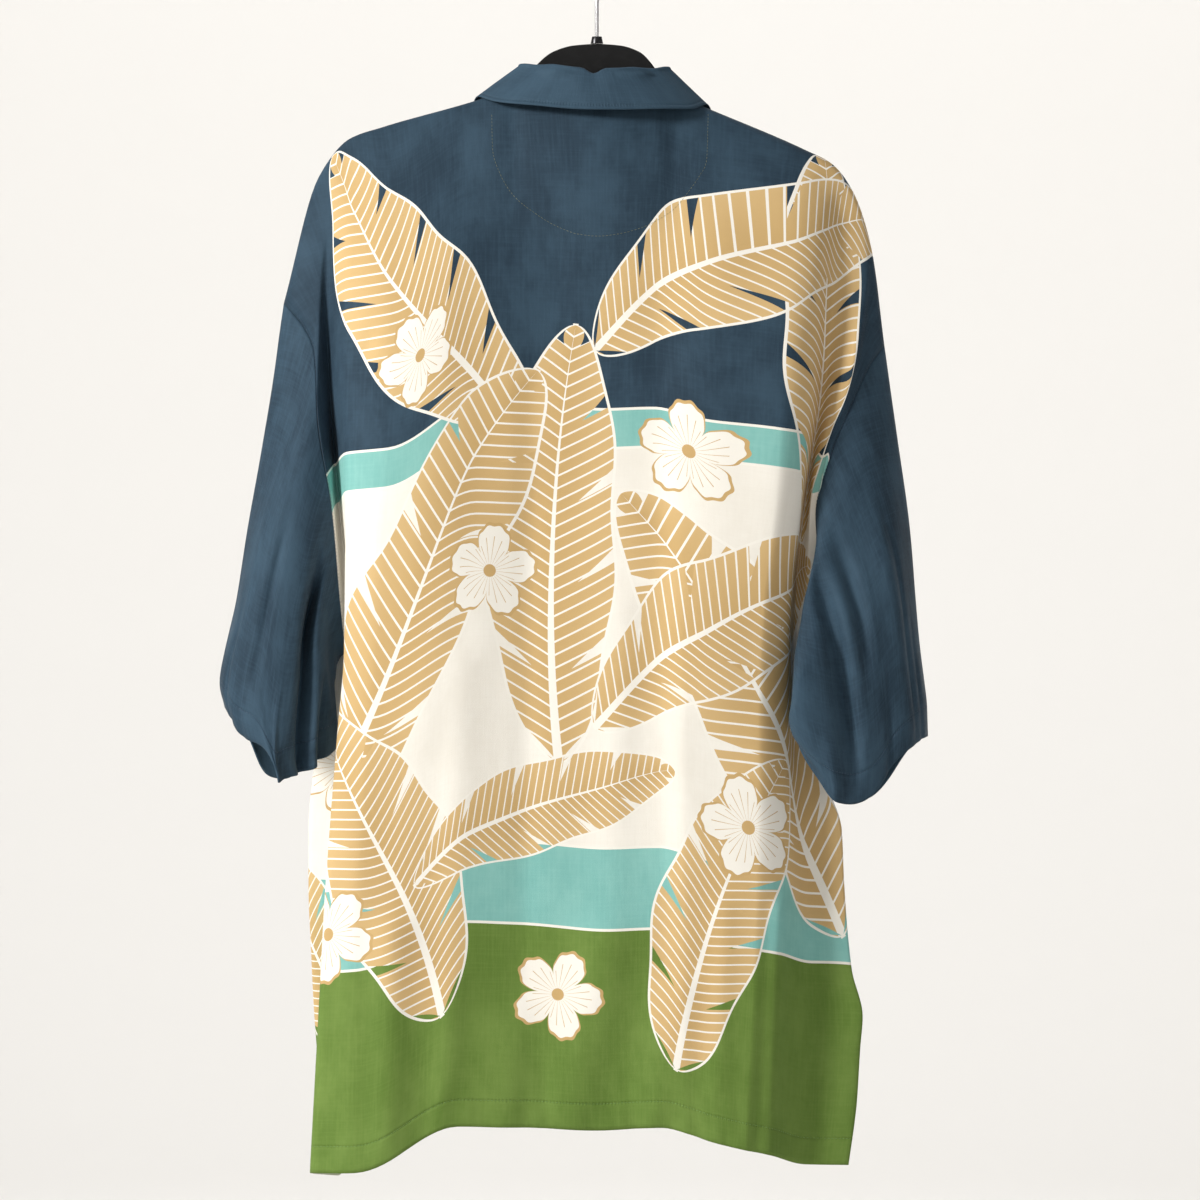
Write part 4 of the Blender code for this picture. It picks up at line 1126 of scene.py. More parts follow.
class ClothEffects:
    """The node groups that the shirt's cloths share, each built once."""

    THREAD_PITCH = 0.42 * MM
    STITCH_PITCH = 2.6 * MM
    GROOVE_HALF_WIDTH = 1.2 * MM
    MOTIF = {"Flat": VECTOR, "Under": COLOUR, "Across": FLOAT, "Up": FLOAT, "Turn": FLOAT}

    def __init__(self) -> None:
        """Builds the groups."""
        self.dye = self.build_dye()
        self.weave = self.build_weave()
        self.blade = self.build_blade(LeafDrawing())
        self.flower = self.build_flower(FlowerDrawing())
        self.sewn_line = self.build_sewn_line()

    def build_dye(self) -> NodeTree:
        """A dyed ground: soft clouds of a paler wash, and fine slubs along the threads."""
        draw = GroupSketch("Dyed ground", {"Flat": VECTOR, "Dye": COLOUR, "Wash": COLOUR,
                                           "Clouds": FLOAT, "Slubs": FLOAT}, {"Colour": COLOUR})
        flat, dye, wash, clouds, slubs = draw.given
        washed = draw.mix(flat.grain(CLOUDS).eased(0.36, 0.70) * clouds, dye, wash)
        warp = flat.grain(WARP_SLUBS).eased(0.40, 0.70)
        weft = flat.grain(WEFT_SLUBS).eased(0.42, 0.72)
        return draw.give(draw.mix((warp * 0.75 + weft * 0.45) * slubs, washed, wash))

    def build_weave(self) -> NodeTree:
        """A plain weave: its threads' height, and the roughness that slubs give it."""
        draw = GroupSketch("Plain weave", {"Flat": VECTOR, "Roughness": FLOAT},
                           {"Height": FLOAT, "Roughness": FLOAT})
        flat, roughness = draw.given
        across, up = flat.parts()
        threads = 2 * math.pi / self.THREAD_PITCH
        woven = (across * threads).sine() * (up * threads).sine()
        slub = flat.grain(WARP_RELIEF)
        uneven = slub + flat.grain(WEFT_RELIEF) * 0.6
        return draw.give(woven * 0.25 + uneven, roughness + (slub - 0.5) * 0.12)

    def placed(self, flat: Signal, across: Signal, up: Signal, turn: Signal,
               size: Signal) -> tuple[Signal, Signal]:
        """Turns the flat place to a motif's own: along and beside it, in its sizes."""
        x, y = flat.parts()
        x, y = x - across, y - up
        turn = turn.math("RADIANS")
        cosine, sine = turn.math("COSINE"), turn.sine()
        return (x * cosine + y * sine) / size, (y * cosine - x * sine) / size

    def build_blade(self, leaf: LeafDrawing) -> NodeTree:
        """A broad ribbed leaf with a bent midrib, slanting ribs and a few torn slits."""
        draw = GroupSketch("Broad leaf", {**self.MOTIF, "Length": FLOAT, "Width": FLOAT,
                                          "Bend": FLOAT}, {"Colour": COLOUR})
        flat, under, across, up, turn, length, widest, bend = draw.given
        along, beside = self.placed(flat, across, up, turn, length)
        left = 1.0 - along
        hump = along.at_least(0.0) * left.at_least(0.0)
        side = abs(beside - hump * bend)
        wave = (along * leaf.edge_waves).sine() * 0.25 + 0.5
        width = (hump * 4.0) ** leaf.roundness * widest * (wave * 0.2 + 0.9)
        rib = along - side * leaf.rib_slant
        rib_line = (rib * leaf.ribs).fraction() < leaf.rib_width
        reach = side / width.at_least(0.0001)
        torn = (rib * leaf.tears).fraction() < (reach - leaf.tear_start) * leaf.tear_width
        inside = side < width
        rim = ((side < width + leaf.rim) * (along > -leaf.rim_past_ends)
               * (along < 1 + leaf.rim_past_ends))
        lines = rib_line.at_least(side < left * leaf.midrib)
        drawn = draw.mix(lines, draw.mix(reach, PALETTE.tan, PALETTE.tan_pale), PALETTE.cream)
        edged = draw.mix(rim * (1.0 - torn * inside), under, PALETTE.cream)
        return draw.give(draw.mix(inside * (1.0 - torn), edged, drawn))

    def build_flower(self, flower: FlowerDrawing) -> NodeTree:
        """An open flower with ruffled edges, drawn in line over a ground."""
        draw = GroupSketch("Open flower", {**self.MOTIF, "Radius": FLOAT, "Petal": COLOUR,
                                           "Line": COLOUR}, {"Colour": COLOUR})
        flat, under, across, up, turn, size, petal, line = draw.given
        along, beside = self.placed(flat, across, up, turn, size)
        angle = beside.math("ARCTAN2", along)
        radius = (along * along + beside * beside).math("SQRT")
        lobe = abs((angle * (flower.petals / 2)).math("COSINE"))
        ruffle = (angle * flower.ruffles).sine() * flower.ruffle_depth
        share = radius / (lobe ** flower.roundness * flower.petal_length
                          + (ruffle + (1 - flower.petal_length)))
        inside = share < 1.0
        rim = inside * (share > flower.rim_start)
        rays = abs((angle * flower.rays).sine()) < flower.ray_width
        ray = rays * (share < flower.ray_end)
        drawn = rim.at_least(ray).at_least(radius < flower.heart)
        return draw.give(draw.mix(inside, under, draw.mix(drawn, petal, line)))

    def build_sewn_line(self) -> NodeTree:
        """The groove that a row of stitches pulls into cloth at a distance from an edge."""
        draw = GroupSketch("Sewn line", {"Distance": FLOAT, "At": FLOAT, "Along": FLOAT},
                           {"Height": FLOAT})
        distance, at, along = draw.given
        away = abs(distance - at) / self.GROOVE_HALF_WIDTH
        groove = (away * away * -1.0).math("EXPONENT")
        dimple = (along * (2 * math.pi / self.STITCH_PITCH)).sine() * 0.25 + 0.75
        return draw.give(groove * dimple * -1.0)


@dataclass(frozen=True)
class Leaf:
    """One printed leaf: where its stalk starts in the flat cut, how it lies and its size."""

    across: float
    up: float
    turn: float
    length: float
    width: float
    bend: float


@dataclass(frozen=True)
class Bloom:
    """One printed flower: its middle in the flat cut, its turn and its radius."""

    across: float
    up: float
    turn: float
    radius: float


@dataclass(frozen=True)
class Print:
    """The printed cloth of one panel: blocks of colour right round, with tossed leaves."""

    leaves: tuple[Leaf, ...]
    blooms: tuple[Bloom, ...]
    green_top: float = 0.165
    aqua_top: float = 0.232
    cream_top: float = 0.560
    trim_top: float = 0.592
    line: float = 0.0022
    edge_wave: float = 0.0025
    edge_turns: float = 17.0
    clouds: float = 0.6
    slubs: float = 0.32


@dataclass(frozen=True)
class ClothFinish:
    """A cloth's material: its ground, its weave, and the row of stitches that grooves it."""

    name: str
    ground: Ground
    effects: ClothEffects
    hem_line: float
    pattern: Print | None = None
    clouds: float = 0.8
    slubs: float = 0.5
    reverse_paleness: float = 0.45
    roughness: float = 0.7
    weave_height: float = 0.11
    groove_depth: float = 0.9
    relief: float = 0.8
    sheen: float = 0.04
    sheen_roughness: float = 0.45
    specular: float = 0.2

    def make(self) -> Material:
        """Builds the material and returns it."""
        draw = FinishSketch(self.name)
        flat = draw.output("ShaderNodeUVMap", 0, uv_map="flat")
        if self.ground is Ground.PRINTED:
            colour, pale = self.printed(draw, flat), PALETTE.cream
        else:
            pale = PALETTE.navy_worn
            [colour] = draw.place(self.effects.dye, flat=flat, dye=PALETTE.navy, wash=pale,
                                  clouds=self.clouds, slubs=self.slubs)
        inside = draw.output("ShaderNodeAttribute", "Fac", attribute_name="inside")
        reverse = draw.mix(self.reverse_paleness, colour, pale)
        height, roughness = draw.place(self.effects.weave, flat=flat, roughness=self.roughness)
        across, up = flat.parts()
        [line] = draw.place(self.effects.sewn_line, distance=up, at=self.hem_line, along=across)
        height = height * self.weave_height + line * self.groove_depth
        return draw.give({
            "Base Color": draw.mix(inside, colour, reverse), "Roughness": roughness,
            "Normal": draw.relief(height, self.relief), "Sheen Weight": self.sheen,
            "Sheen Roughness": self.sheen_roughness, "Specular IOR Level": self.specular})

    def printed(self, draw: NodeSketch, flat: Signal) -> Signal:
        """Returns the printed colour: blocks, cream lines, leaves and flowers."""
        shape, inks = self.pattern, PALETTE
        across, up = flat.parts()
        up = up + (across * shape.edge_turns).sine() * shape.edge_wave
        dye, wash, lines = inks.green, inks.green_pale, 0.0
        for edge, block_dye, block_wash in (
                (shape.green_top, inks.aqua, inks.aqua_pale),
                (shape.aqua_top, inks.cream, inks.cream_shade),
                (shape.cream_top, inks.aqua, inks.aqua_pale),
                (shape.trim_top, inks.navy, inks.navy_worn)):
            above = up > edge
            dye, wash = draw.mix(above, dye, block_dye), draw.mix(above, wash, block_wash)
            lines = (abs(up - edge) < shape.line / 2).at_least(lines)
        [ground] = draw.place(self.effects.dye, flat=flat, dye=dye, wash=wash,
                              clouds=shape.clouds, slubs=shape.slubs)
        colour = draw.mix(lines, ground, inks.cream)
        for leaf in shape.leaves:
            [colour] = draw.place(self.effects.blade, flat=flat, under=colour, **asdict(leaf))
        for bloom in shape.blooms:
            [colour] = draw.place(self.effects.flower, flat=flat, under=colour,
                                  petal=inks.cream, line=inks.tan, **asdict(bloom))
        return colour


@dataclass(frozen=True)
class PlainFinish:
    """A hard or fibrous finish: its colour, its clouding and its fine relief."""

    name: str
    colour: Colour
    second: Colour
    roughness: float
    metallic: float = 0.0
    sheen: float = 0.0
    coat: float = 0.0
    cloud_scale: float = 60.0
    relief_scale: float = 2500.0
    relief: float = 0.05
    rough_range: float = 0.1
    relief_strength: float = 0.6

    def make(self) -> Material:
        """Builds the material and returns it."""
        draw = FinishSketch(self.name)
        place = draw.output("ShaderNodeTexCoord", "Object")
        clouds = place.noise(self.cloud_scale, 4.0, 0.6)
        fibres = place.noise(self.relief_scale, 2.0)
        return draw.give({
            "Base Color": draw.mix(clouds.eased(0.35, 0.7), self.colour, self.second),
            "Roughness": clouds * self.rough_range + (self.roughness - self.rough_range / 2),
            "Normal": draw.relief(fibres * self.relief, self.relief_strength),
            "Metallic": self.metallic, "Sheen Weight": self.sheen, "Coat Weight": self.coat})


FLOCK = PlainFinish("black velvet flock", (0.003, 0.003, 0.0033), (0.006, 0.006, 0.0066), 1.0,
                    sheen=0.012, cloud_scale=140.0, relief_scale=1800.0, relief=0.25)
WIRE = PlainFinish("bright plated wire", (0.66, 0.66, 0.68), (0.55, 0.55, 0.57), 0.22,
                   metallic=1.0, cloud_scale=300.0, relief=0.004)
CAP = PlainFinish("black plated cap", (0.030, 0.030, 0.032), (0.055, 0.055, 0.058), 0.3,
                  metallic=1.0, cloud_scale=300.0, relief=0.004)
SHELL = PlainFinish("polished coconut button", (0.52, 0.38, 0.22), (0.70, 0.56, 0.37), 0.38,
                    coat=0.3, cloud_scale=260.0, relief_scale=1200.0, relief=0.02)


def thread_finish(name: str, colour: Colour, second: Colour, sheen: float = 0.2) -> PlainFinish:
    """Returns a sewing thread's finish."""
    return PlainFinish(name, colour, second, 0.7, sheen=sheen, cloud_scale=400.0)


PALE_THREAD = thread_finish("pale thread", (0.70, 0.60, 0.42), (0.80, 0.72, 0.55))
OLIVE_THREAD = thread_finish("olive thread", (0.16, 0.17, 0.09), (0.24, 0.25, 0.14), 0.1)
NAVY_THREAD = thread_finish("navy thread", (0.022, 0.050, 0.100), (0.045, 0.085, 0.15))
GREEN_THREAD = thread_finish("green thread", (0.16, 0.30, 0.07), (0.22, 0.38, 0.11))


# --- making pieces


FACES_UP = 0.9
FAR_OUT = 0.5


def edit() -> None:
    """Goes into edit mode."""
    bpy.ops.object.mode_set(mode="EDIT")


def leave_edit() -> None:
    """Goes back to object mode."""
    bpy.ops.object.mode_set(mode="OBJECT")


def deselect() -> None:
    """Goes back to object mode with nothing selected."""
    if bpy.context.mode != "OBJECT":
        leave_edit()
    bpy.ops.object.select_all(action="DESELECT")


def start_piece(name: str) -> Piece:
    """Names the primitive that was just added and returns it."""
    piece = bpy.context.object
    piece.name = piece.data.name = name
    return piece


def link(name: str, data: bpy.types.ID) -> Piece:
    """Makes an object of a mesh, lamp or camera and puts it in the scene."""
    made = bpy.data.objects.new(name, data)
    bpy.context.scene.collection.objects.link(made)
    return made


def from_faces(name: str, points: Array, faces: Faces) -> Piece:
    """Makes a smooth piece of its points and faces."""
    mesh = bpy.data.meshes.new(name)
    mesh.from_pydata(points.tolist(), [], faces)
    mesh.update()
    mesh.shade_smooth()
    return link(name, mesh)


def pick(piece: Piece) -> None:
    """Selects one piece alone and makes it active."""
    deselect()
    piece.select_set(True)
    bpy.context.view_layer.objects.active = piece


def pick_top(piece: Piece) -> None:
    """Selects the faces that look up, in edit mode."""
    edit()
    shape = bmesh.from_edit_mesh(piece.data)
    for face in shape.faces:
        face.select_set(face.normal.z > FACES_UP)
    bmesh.update_edit_mesh(piece.data)


def settle(piece: Piece) -> Piece:
    """Puts the piece's place into its mesh, so its object sits at the origin."""
    pick(piece)
    bpy.ops.object.transform_apply(location=True, rotation=True, scale=True)
    return piece


def soften(piece: Piece, width: float, segments: int, corner: float) -> None:
    """Adds a bevel to the edges that turn by more than a corner's degrees."""
    bevel = piece.modifiers.new("soften", "BEVEL")
    bevel.width, bevel.segments = width, segments
    bevel.limit_method, bevel.angle_limit = "ANGLE", math.radians(corner)


def complete(piece: Piece, smooth_below: float) -> Piece:
    """Applies the piece's modifiers and smooths what turns by fewer degrees than a limit."""
    pick(piece)
    for modifier in list(piece.modifiers):
        bpy.ops.object.modifier_apply(modifier=modifier.name)
    bpy.ops.object.shade_smooth_by_angle(angle=math.radians(smooth_below))
    return piece


def dress(piece: Piece, finish: Material, slot: str,
          nodes: Sequence[str] = ()) -> Piece:
    """Gives a piece its material, its ride and the nodes that it stands for.

    Args:
        piece: the object.
        finish: its material.
        slot: the record's material slot; not used.
        nodes: the solids that it replaces.

    Returns:
        The piece.
    """
    piece.data.materials.clear()
    piece.data.materials.append(finish)
    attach(piece, BODY)
    if nodes:
        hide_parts(*nodes)
    LOG.info("%s: %d faces", piece.name, len(piece.data.polygons))
    return piece


@dataclass
class ClothPiece:
    """One cut piece of cloth: a thin shell on its sheet, thicker where its hem is turned."""

    name: str
    sheet: Sheet
    slot: str
    cut: tuple[float, float]
    cut_area: float
    rests_on: tuple[str, ...]
    thickness: float = 0.7 * MM
    inset: float = 0.15 * MM
    hem: float = 0.0
    hem_extra: float = 0.55 * MM
    hem_step: float = 1.0 * MM

    def build(self, finish: Material) -> Piece:
        """Builds the shell, gives it its flat places and dresses it.

        Args:
            finish: the cloth's material.

        Returns:
            The piece.
        """
        sheet = self.sheet
        rows, columns = sheet.points.shape[:2]
        count = rows * columns
        outer = sheet.inset(self.inset)
        depth = np.full((rows, columns, 1), self.thickness)
        if self.hem:
            up = sheet.flat[..., 1:2]
            depth += self.hem_extra * (
                1 - smoothstep(self.hem - self.hem_step, self.hem + self.hem_step, up))
        inner = outer - sheet.normals * depth
        outside = sheet.faces()
        inside = [tuple(at + count for at in face[::-1]) for face in outside]
        piece = from_faces(self.name, np.concatenate([outer, inner]).reshape(-1, 3),
                           outside + inside + self.rim(rows, columns, count))
        self.lay_flat(piece.data, columns, count)
        mark = piece.data.attributes.new("inside", "FLOAT", "POINT")
        mark.data.foreach_set("value", np.repeat([0.0, 1.0], count).astype(np.float32))
        dress(piece, finish, self.slot, (self.name.removesuffix("_cloth"),))
        list(self.rests_on)
        return piece

    def rim(self, rows: int, columns: int, count: int) -> Faces:
        """Returns the faces that close the shell along its free edges."""
        def strip(edge: list[int]) -> Faces:
            return [(a, b, b + count, a + count) for a, b in zip(edge[:-1], edge[1:])]

        top = list(range(columns))
        low = [(rows - 1) * columns + column for column in range(columns)]
        if self.sheet.closed:
            edges = [top + top[:1], (low + low[:1])[::-1]]
        else:
            left = [row * columns for row in range(rows)]
            right = [row * columns + columns - 1 for row in range(rows)]
            edges = [top, low[::-1], left[::-1], right]
        faces = [face for edge in edges for face in strip(edge)]
        return [face[::-1] for face in faces] if self.sheet.flipped else faces

    def lay_flat(self, mesh: bpy.types.Mesh, columns: int, count: int) -> None:
        """Writes each corner's place in the flat cut to the mesh's UV map."""
        flat = self.sheet.flat.reshape(-1, 2)
        corners = np.empty(len(mesh.loops), np.int32)
        mesh.loops.foreach_get("vertex_index", corners)
        places = flat[corners % count].copy()
        if self.sheet.closed:
            sizes = np.empty(len(mesh.polygons), np.int32)
            mesh.polygons.foreach_get("loop_total", sizes)
            owner = np.repeat(np.arange(len(sizes)), sizes)
            at = corners % columns
            lows = np.full(len(sizes), columns)
            highs = np.zeros(len(sizes), int)
            np.minimum.at(lows, owner, at)
            np.maximum.at(highs, owner, at)
            wraps = (lows == 0) & (highs == columns - 1)
            span = flat[:columns, 0]
            width = span[-1] - span[0] + (span[-1] - span[-2])
            places[wraps[owner] & (at == 0), 0] += width
        layer = mesh.uv_layers.new(name="flat")
        layer.data.foreach_set("uv", places.astype(np.float32).reshape(-1))


# --- stitches


@dataclass
class Stitching:
    """Rows of lockstitch: short rounded threads lying in the cloth."""

    length: float = 2.3 * MM
    pitch: float = 3.0 * MM
    thread: float = 0.34 * MM
    sunk: float = 0.06 * MM

    def template(self) -> tuple[Array, Faces]:
        """Models one stitch lying along X, and returns its points and faces."""
        deselect()
        bpy.ops.mesh.primitive_ico_sphere_add(subdivisions=1, radius=0.5)
        stitch = start_piece("stitch")
        stitch.scale = (self.length, self.thread, self.thread)
        settle(stitch)
        points = np.array([vertex.co for vertex in stitch.data.vertices])
        faces = [tuple(face.vertices) for face in stitch.data.polygons]
        bpy.data.objects.remove(stitch, do_unlink=True)
        return points, faces

    def spaced(self, path: Array, normals: Array) -> tuple:
        """Returns evenly spaced places, directions and normals along a path."""
        length = distance_along(path)
        at = np.arange(self.pitch / 2, length[-1] - self.pitch / 4, self.pitch)
        place, ahead, behind = (read_along(at + shift, length, path)
                                for shift in (0.0, self.length / 2, -self.length / 2))
        return place, unit(ahead - behind), unit(read_along(at, length, normals))

    def sew(self, name: str, rows: Sequence[Track],
            finish: Material, slot: str) -> Piece:
        """Sews rows of stitches into one piece.

        Args:
            name: the piece's name.
            rows: (points, normals) of each row.
            finish: the thread's material.
            slot: the record's material slot; not used.

        Returns:
            The piece.
        """
        points, faces = self.template()
        all_points, all_faces, first = [], [], 0
        for path, normals in rows:
            for place, along, normal in zip(*self.spaced(path, normals)):
                side = np.cross(normal, along)
                turned = (points[:, :1] * along + points[:, 1:2] * side + points[:, 2:] * normal)
                all_points.append(turned + place + normal * (self.thread / 2 - self.sunk))
                all_faces += [tuple(first + at for at in face) for face in faces]
                first += len(points)
        return dress(from_faces(name, np.concatenate(all_points), all_faces), finish, slot)


def row_at_height(sheet: Sheet, up: float) -> Track:
    """Returns the points and normals of the line that lies a height above the hem."""
    both = np.concatenate([sheet.points, sheet.normals], axis=-1)[::-1]
    heights = sheet.flat[::-1, :, 1]
    line = [read_along(up, heights[:, column], both[:, column])
            for column in range(both.shape[1])]
    line = np.array(line + line[:1] if sheet.closed else line)
    return line[:, :3], unit(line[:, 3:])


def column_beside(sheet: Sheet, away: float, from_end: bool, rows: slice,
                  ) -> Track:
    """Returns the points and normals of the line a distance in from a sheet's side edge."""
    both = np.concatenate([sheet.points, sheet.normals], axis=-1)[rows]
    if from_end:
        both = both[:, ::-1]
    line = np.array([read_along(away, distance_along(row[:, :3]), row) for row in both])
    return line[:, :3], unit(line[:, 3:])


def tree_of(sheets: Iterable[Sheet]) -> BVHTree:
    """Returns a search tree over the outer faces of several sheets."""
    points, faces = [], []
    for sheet in sheets:
        faces += sheet.faces(len(points))
        points += [tuple(point) for point in sheet.points.reshape(-1, 3)]
    return BVHTree.FromPolygons(points, faces)


def drop_on(tree: BVHTree, places: Iterable[Array]) -> Track:
    """Presses (x, z) places onto the cloth from behind the shirt."""
    points, normals = [], []
    for x, z in places:
        place, normal, _, _ = tree.ray_cast(Vector((x, -FAR_OUT, z)), Vector((0, 1, 0)))
        points.append(tuple(place))
        normals.append(tuple(normal))
    return np.array(points), unit(np.array(normals))


# --- buttons


@dataclass
class Buttons:
    """The buttons down the left front's lap, with their thread and buttonholes."""

    count: int = 6
    radius: float = 5.75 * MM
    thickness: float = 2.6 * MM
    top: float = -250 * MM
    spacing: float = 108 * MM
    gap: float = 0.35 * MM
    search: float = 0.3
    rim_search: float = 0.02
    hole: float = 0.85 * MM
    hole_place: float = 1.55 * MM
    rim: float = 1.15 * MM
    dish: float = 0.55 * MM
    dish_slope: float = 0.35
    rounding: float = 0.5 * MM
    strand: tuple[float, float, float] = (2.3, 0.9 * MM, 0.7 * MM)
    strand_lift: float = 0.1 * MM
    slit: float = 6.5 * MM
    slit_end: float = 1.05 * MM
    hole_thread: float = 0.5 * MM
    hole_flatness: float = 0.55
    hole_offset: tuple[float, float, float] = (0, -1.5 * MM, 0.02 * MM)

    def template(self) -> Piece:
        """Models one button at the origin: a dished disc with a rounded rim and four holes."""
        deselect()
        bpy.ops.mesh.primitive_cylinder_add(vertices=48, radius=self.radius,
                                            depth=self.thickness)
        button = start_piece("button")
        pick_top(button)
        bpy.ops.mesh.inset(thickness=self.rim, depth=0)
        bpy.ops.mesh.inset(thickness=self.rim * self.dish_slope, depth=-self.dish)
        leave_edit()
        soften(button, self.rounding, 4, corner=40)
        cutters = [self.drill(at) for at in range(4)]
        for cutter in cutters:
            cut = button.modifiers.new("hole", "BOOLEAN")
            cut.operation, cut.object, cut.solver = "DIFFERENCE", cutter, "EXACT"
        complete(button, smooth_below=35)
        for cutter in cutters:
            bpy.data.objects.remove(cutter, do_unlink=True)
        return button

    def drill(self, at: int) -> Piece:
        """Returns the cutter of one of the four holes."""
        turn = math.radians(45 + 90 * at)
        deselect()
        bpy.ops.mesh.primitive_cylinder_add(
            vertices=16, radius=self.hole, depth=self.thickness * 3,
            location=(self.hole_place * math.cos(turn), self.hole_place * math.sin(turn), 0))
        return start_piece(f"drill_{at}")

    def seat(self, number: int, tree: BVHTree) -> tuple[Matrix, Matrix]:
        """Returns where a button sits, and the plain place on the cloth beneath it."""
        height = self.top - number * self.spacing
        spot, normal, _, _ = tree.ray_cast(Vector((0, self.search, height)), Vector((0, -1, 0)))
        turn = normal.to_track_quat("Z", "Y").to_matrix().to_4x4()
        highest = 0.0
        for step in range(12):
            around = math.radians(30 * step)
            rim = turn @ (Vector((math.cos(around), math.sin(around), 0)) * self.radius)
            below, _, _, _ = tree.ray_cast(spot + rim + normal * self.rim_search, -normal)
            if below:
                highest = max(highest, (below - spot).dot(normal))
        lifted = spot + normal * (highest + self.gap + self.thickness / 2)
        return Matrix.Translation(lifted) @ turn, Matrix.Translation(spot) @ turn

    def threads(self, number: int, seat: Matrix) -> Piece:
        """Models the crossed threads that hold a button, sunk in its dish."""
        deselect()
        for turn in (45, 135):
            bpy.ops.mesh.primitive_uv_sphere_add(segments=12, ring_count=8, radius=0.5)
            strand = start_piece(f"strand_{turn}")
            long, wide, high = self.strand
            strand.scale = (self.hole_place * long, wide, high)
            strand.rotation_euler.z = math.radians(turn)
            strand.location.z = self.thickness / 2 - self.dish + self.strand_lift
            settle(strand)
        pick(bpy.data.objects["strand_45"])
        bpy.data.objects["strand_135"].select_set(True)
        bpy.ops.object.join()
        piece = start_piece(f"button_thread_{number + 1}")
        piece.matrix_world = seat
        piece.data.shade_smooth()
        return settle(piece)

    def buttonhole(self, number: int, place: Matrix) -> Piece:
        """Models a stitched buttonhole: a long ring of close stitches round its slit."""
        deselect()
        bpy.ops.mesh.primitive_torus_add(major_segments=36, minor_segments=8,
                                         major_radius=self.slit_end,
                                         minor_radius=self.hole_thread)
        piece = start_piece(f"buttonhole_{number + 1}")
        edit()
        for side in (1, -1):
            shape = bmesh.from_edit_mesh(piece.data)
            for vertex in shape.verts:
                vertex.select_set(vertex.co.y * side > 1e-6)
            shape.select_flush_mode()
            bmesh.update_edit_mesh(piece.data)
            bpy.ops.transform.translate(value=(0, side * self.slit, 0))
        leave_edit()
        piece.scale.z = self.hole_flatness
        settle(piece)
        piece.matrix_world = place @ Matrix.Translation(self.hole_offset)
        piece.data.shade_smooth()
        return settle(piece)

    def build(self, lap: Sheet) -> None:
        """Builds each button with its thread and buttonhole on the lap."""
        tree = tree_of([lap])
        shell, thread = SHELL.make(), PALE_THREAD.make()
        template = self.template()
        for number in range(self.count):
            seat, place = self.seat(number, tree)
            button = link(f"shell_button_{number + 1}", template.data.copy())
            button.data.name = button.name
            button.matrix_world = seat
            dress(settle(button), shell, "button", (f"button_{number + 1}",))
            dress(self.threads(number, seat), thread, "button")
            dress(self.buttonhole(number, place), thread, "front_cloth")
        bpy.data.objects.remove(template, do_unlink=True)


# --- hanger


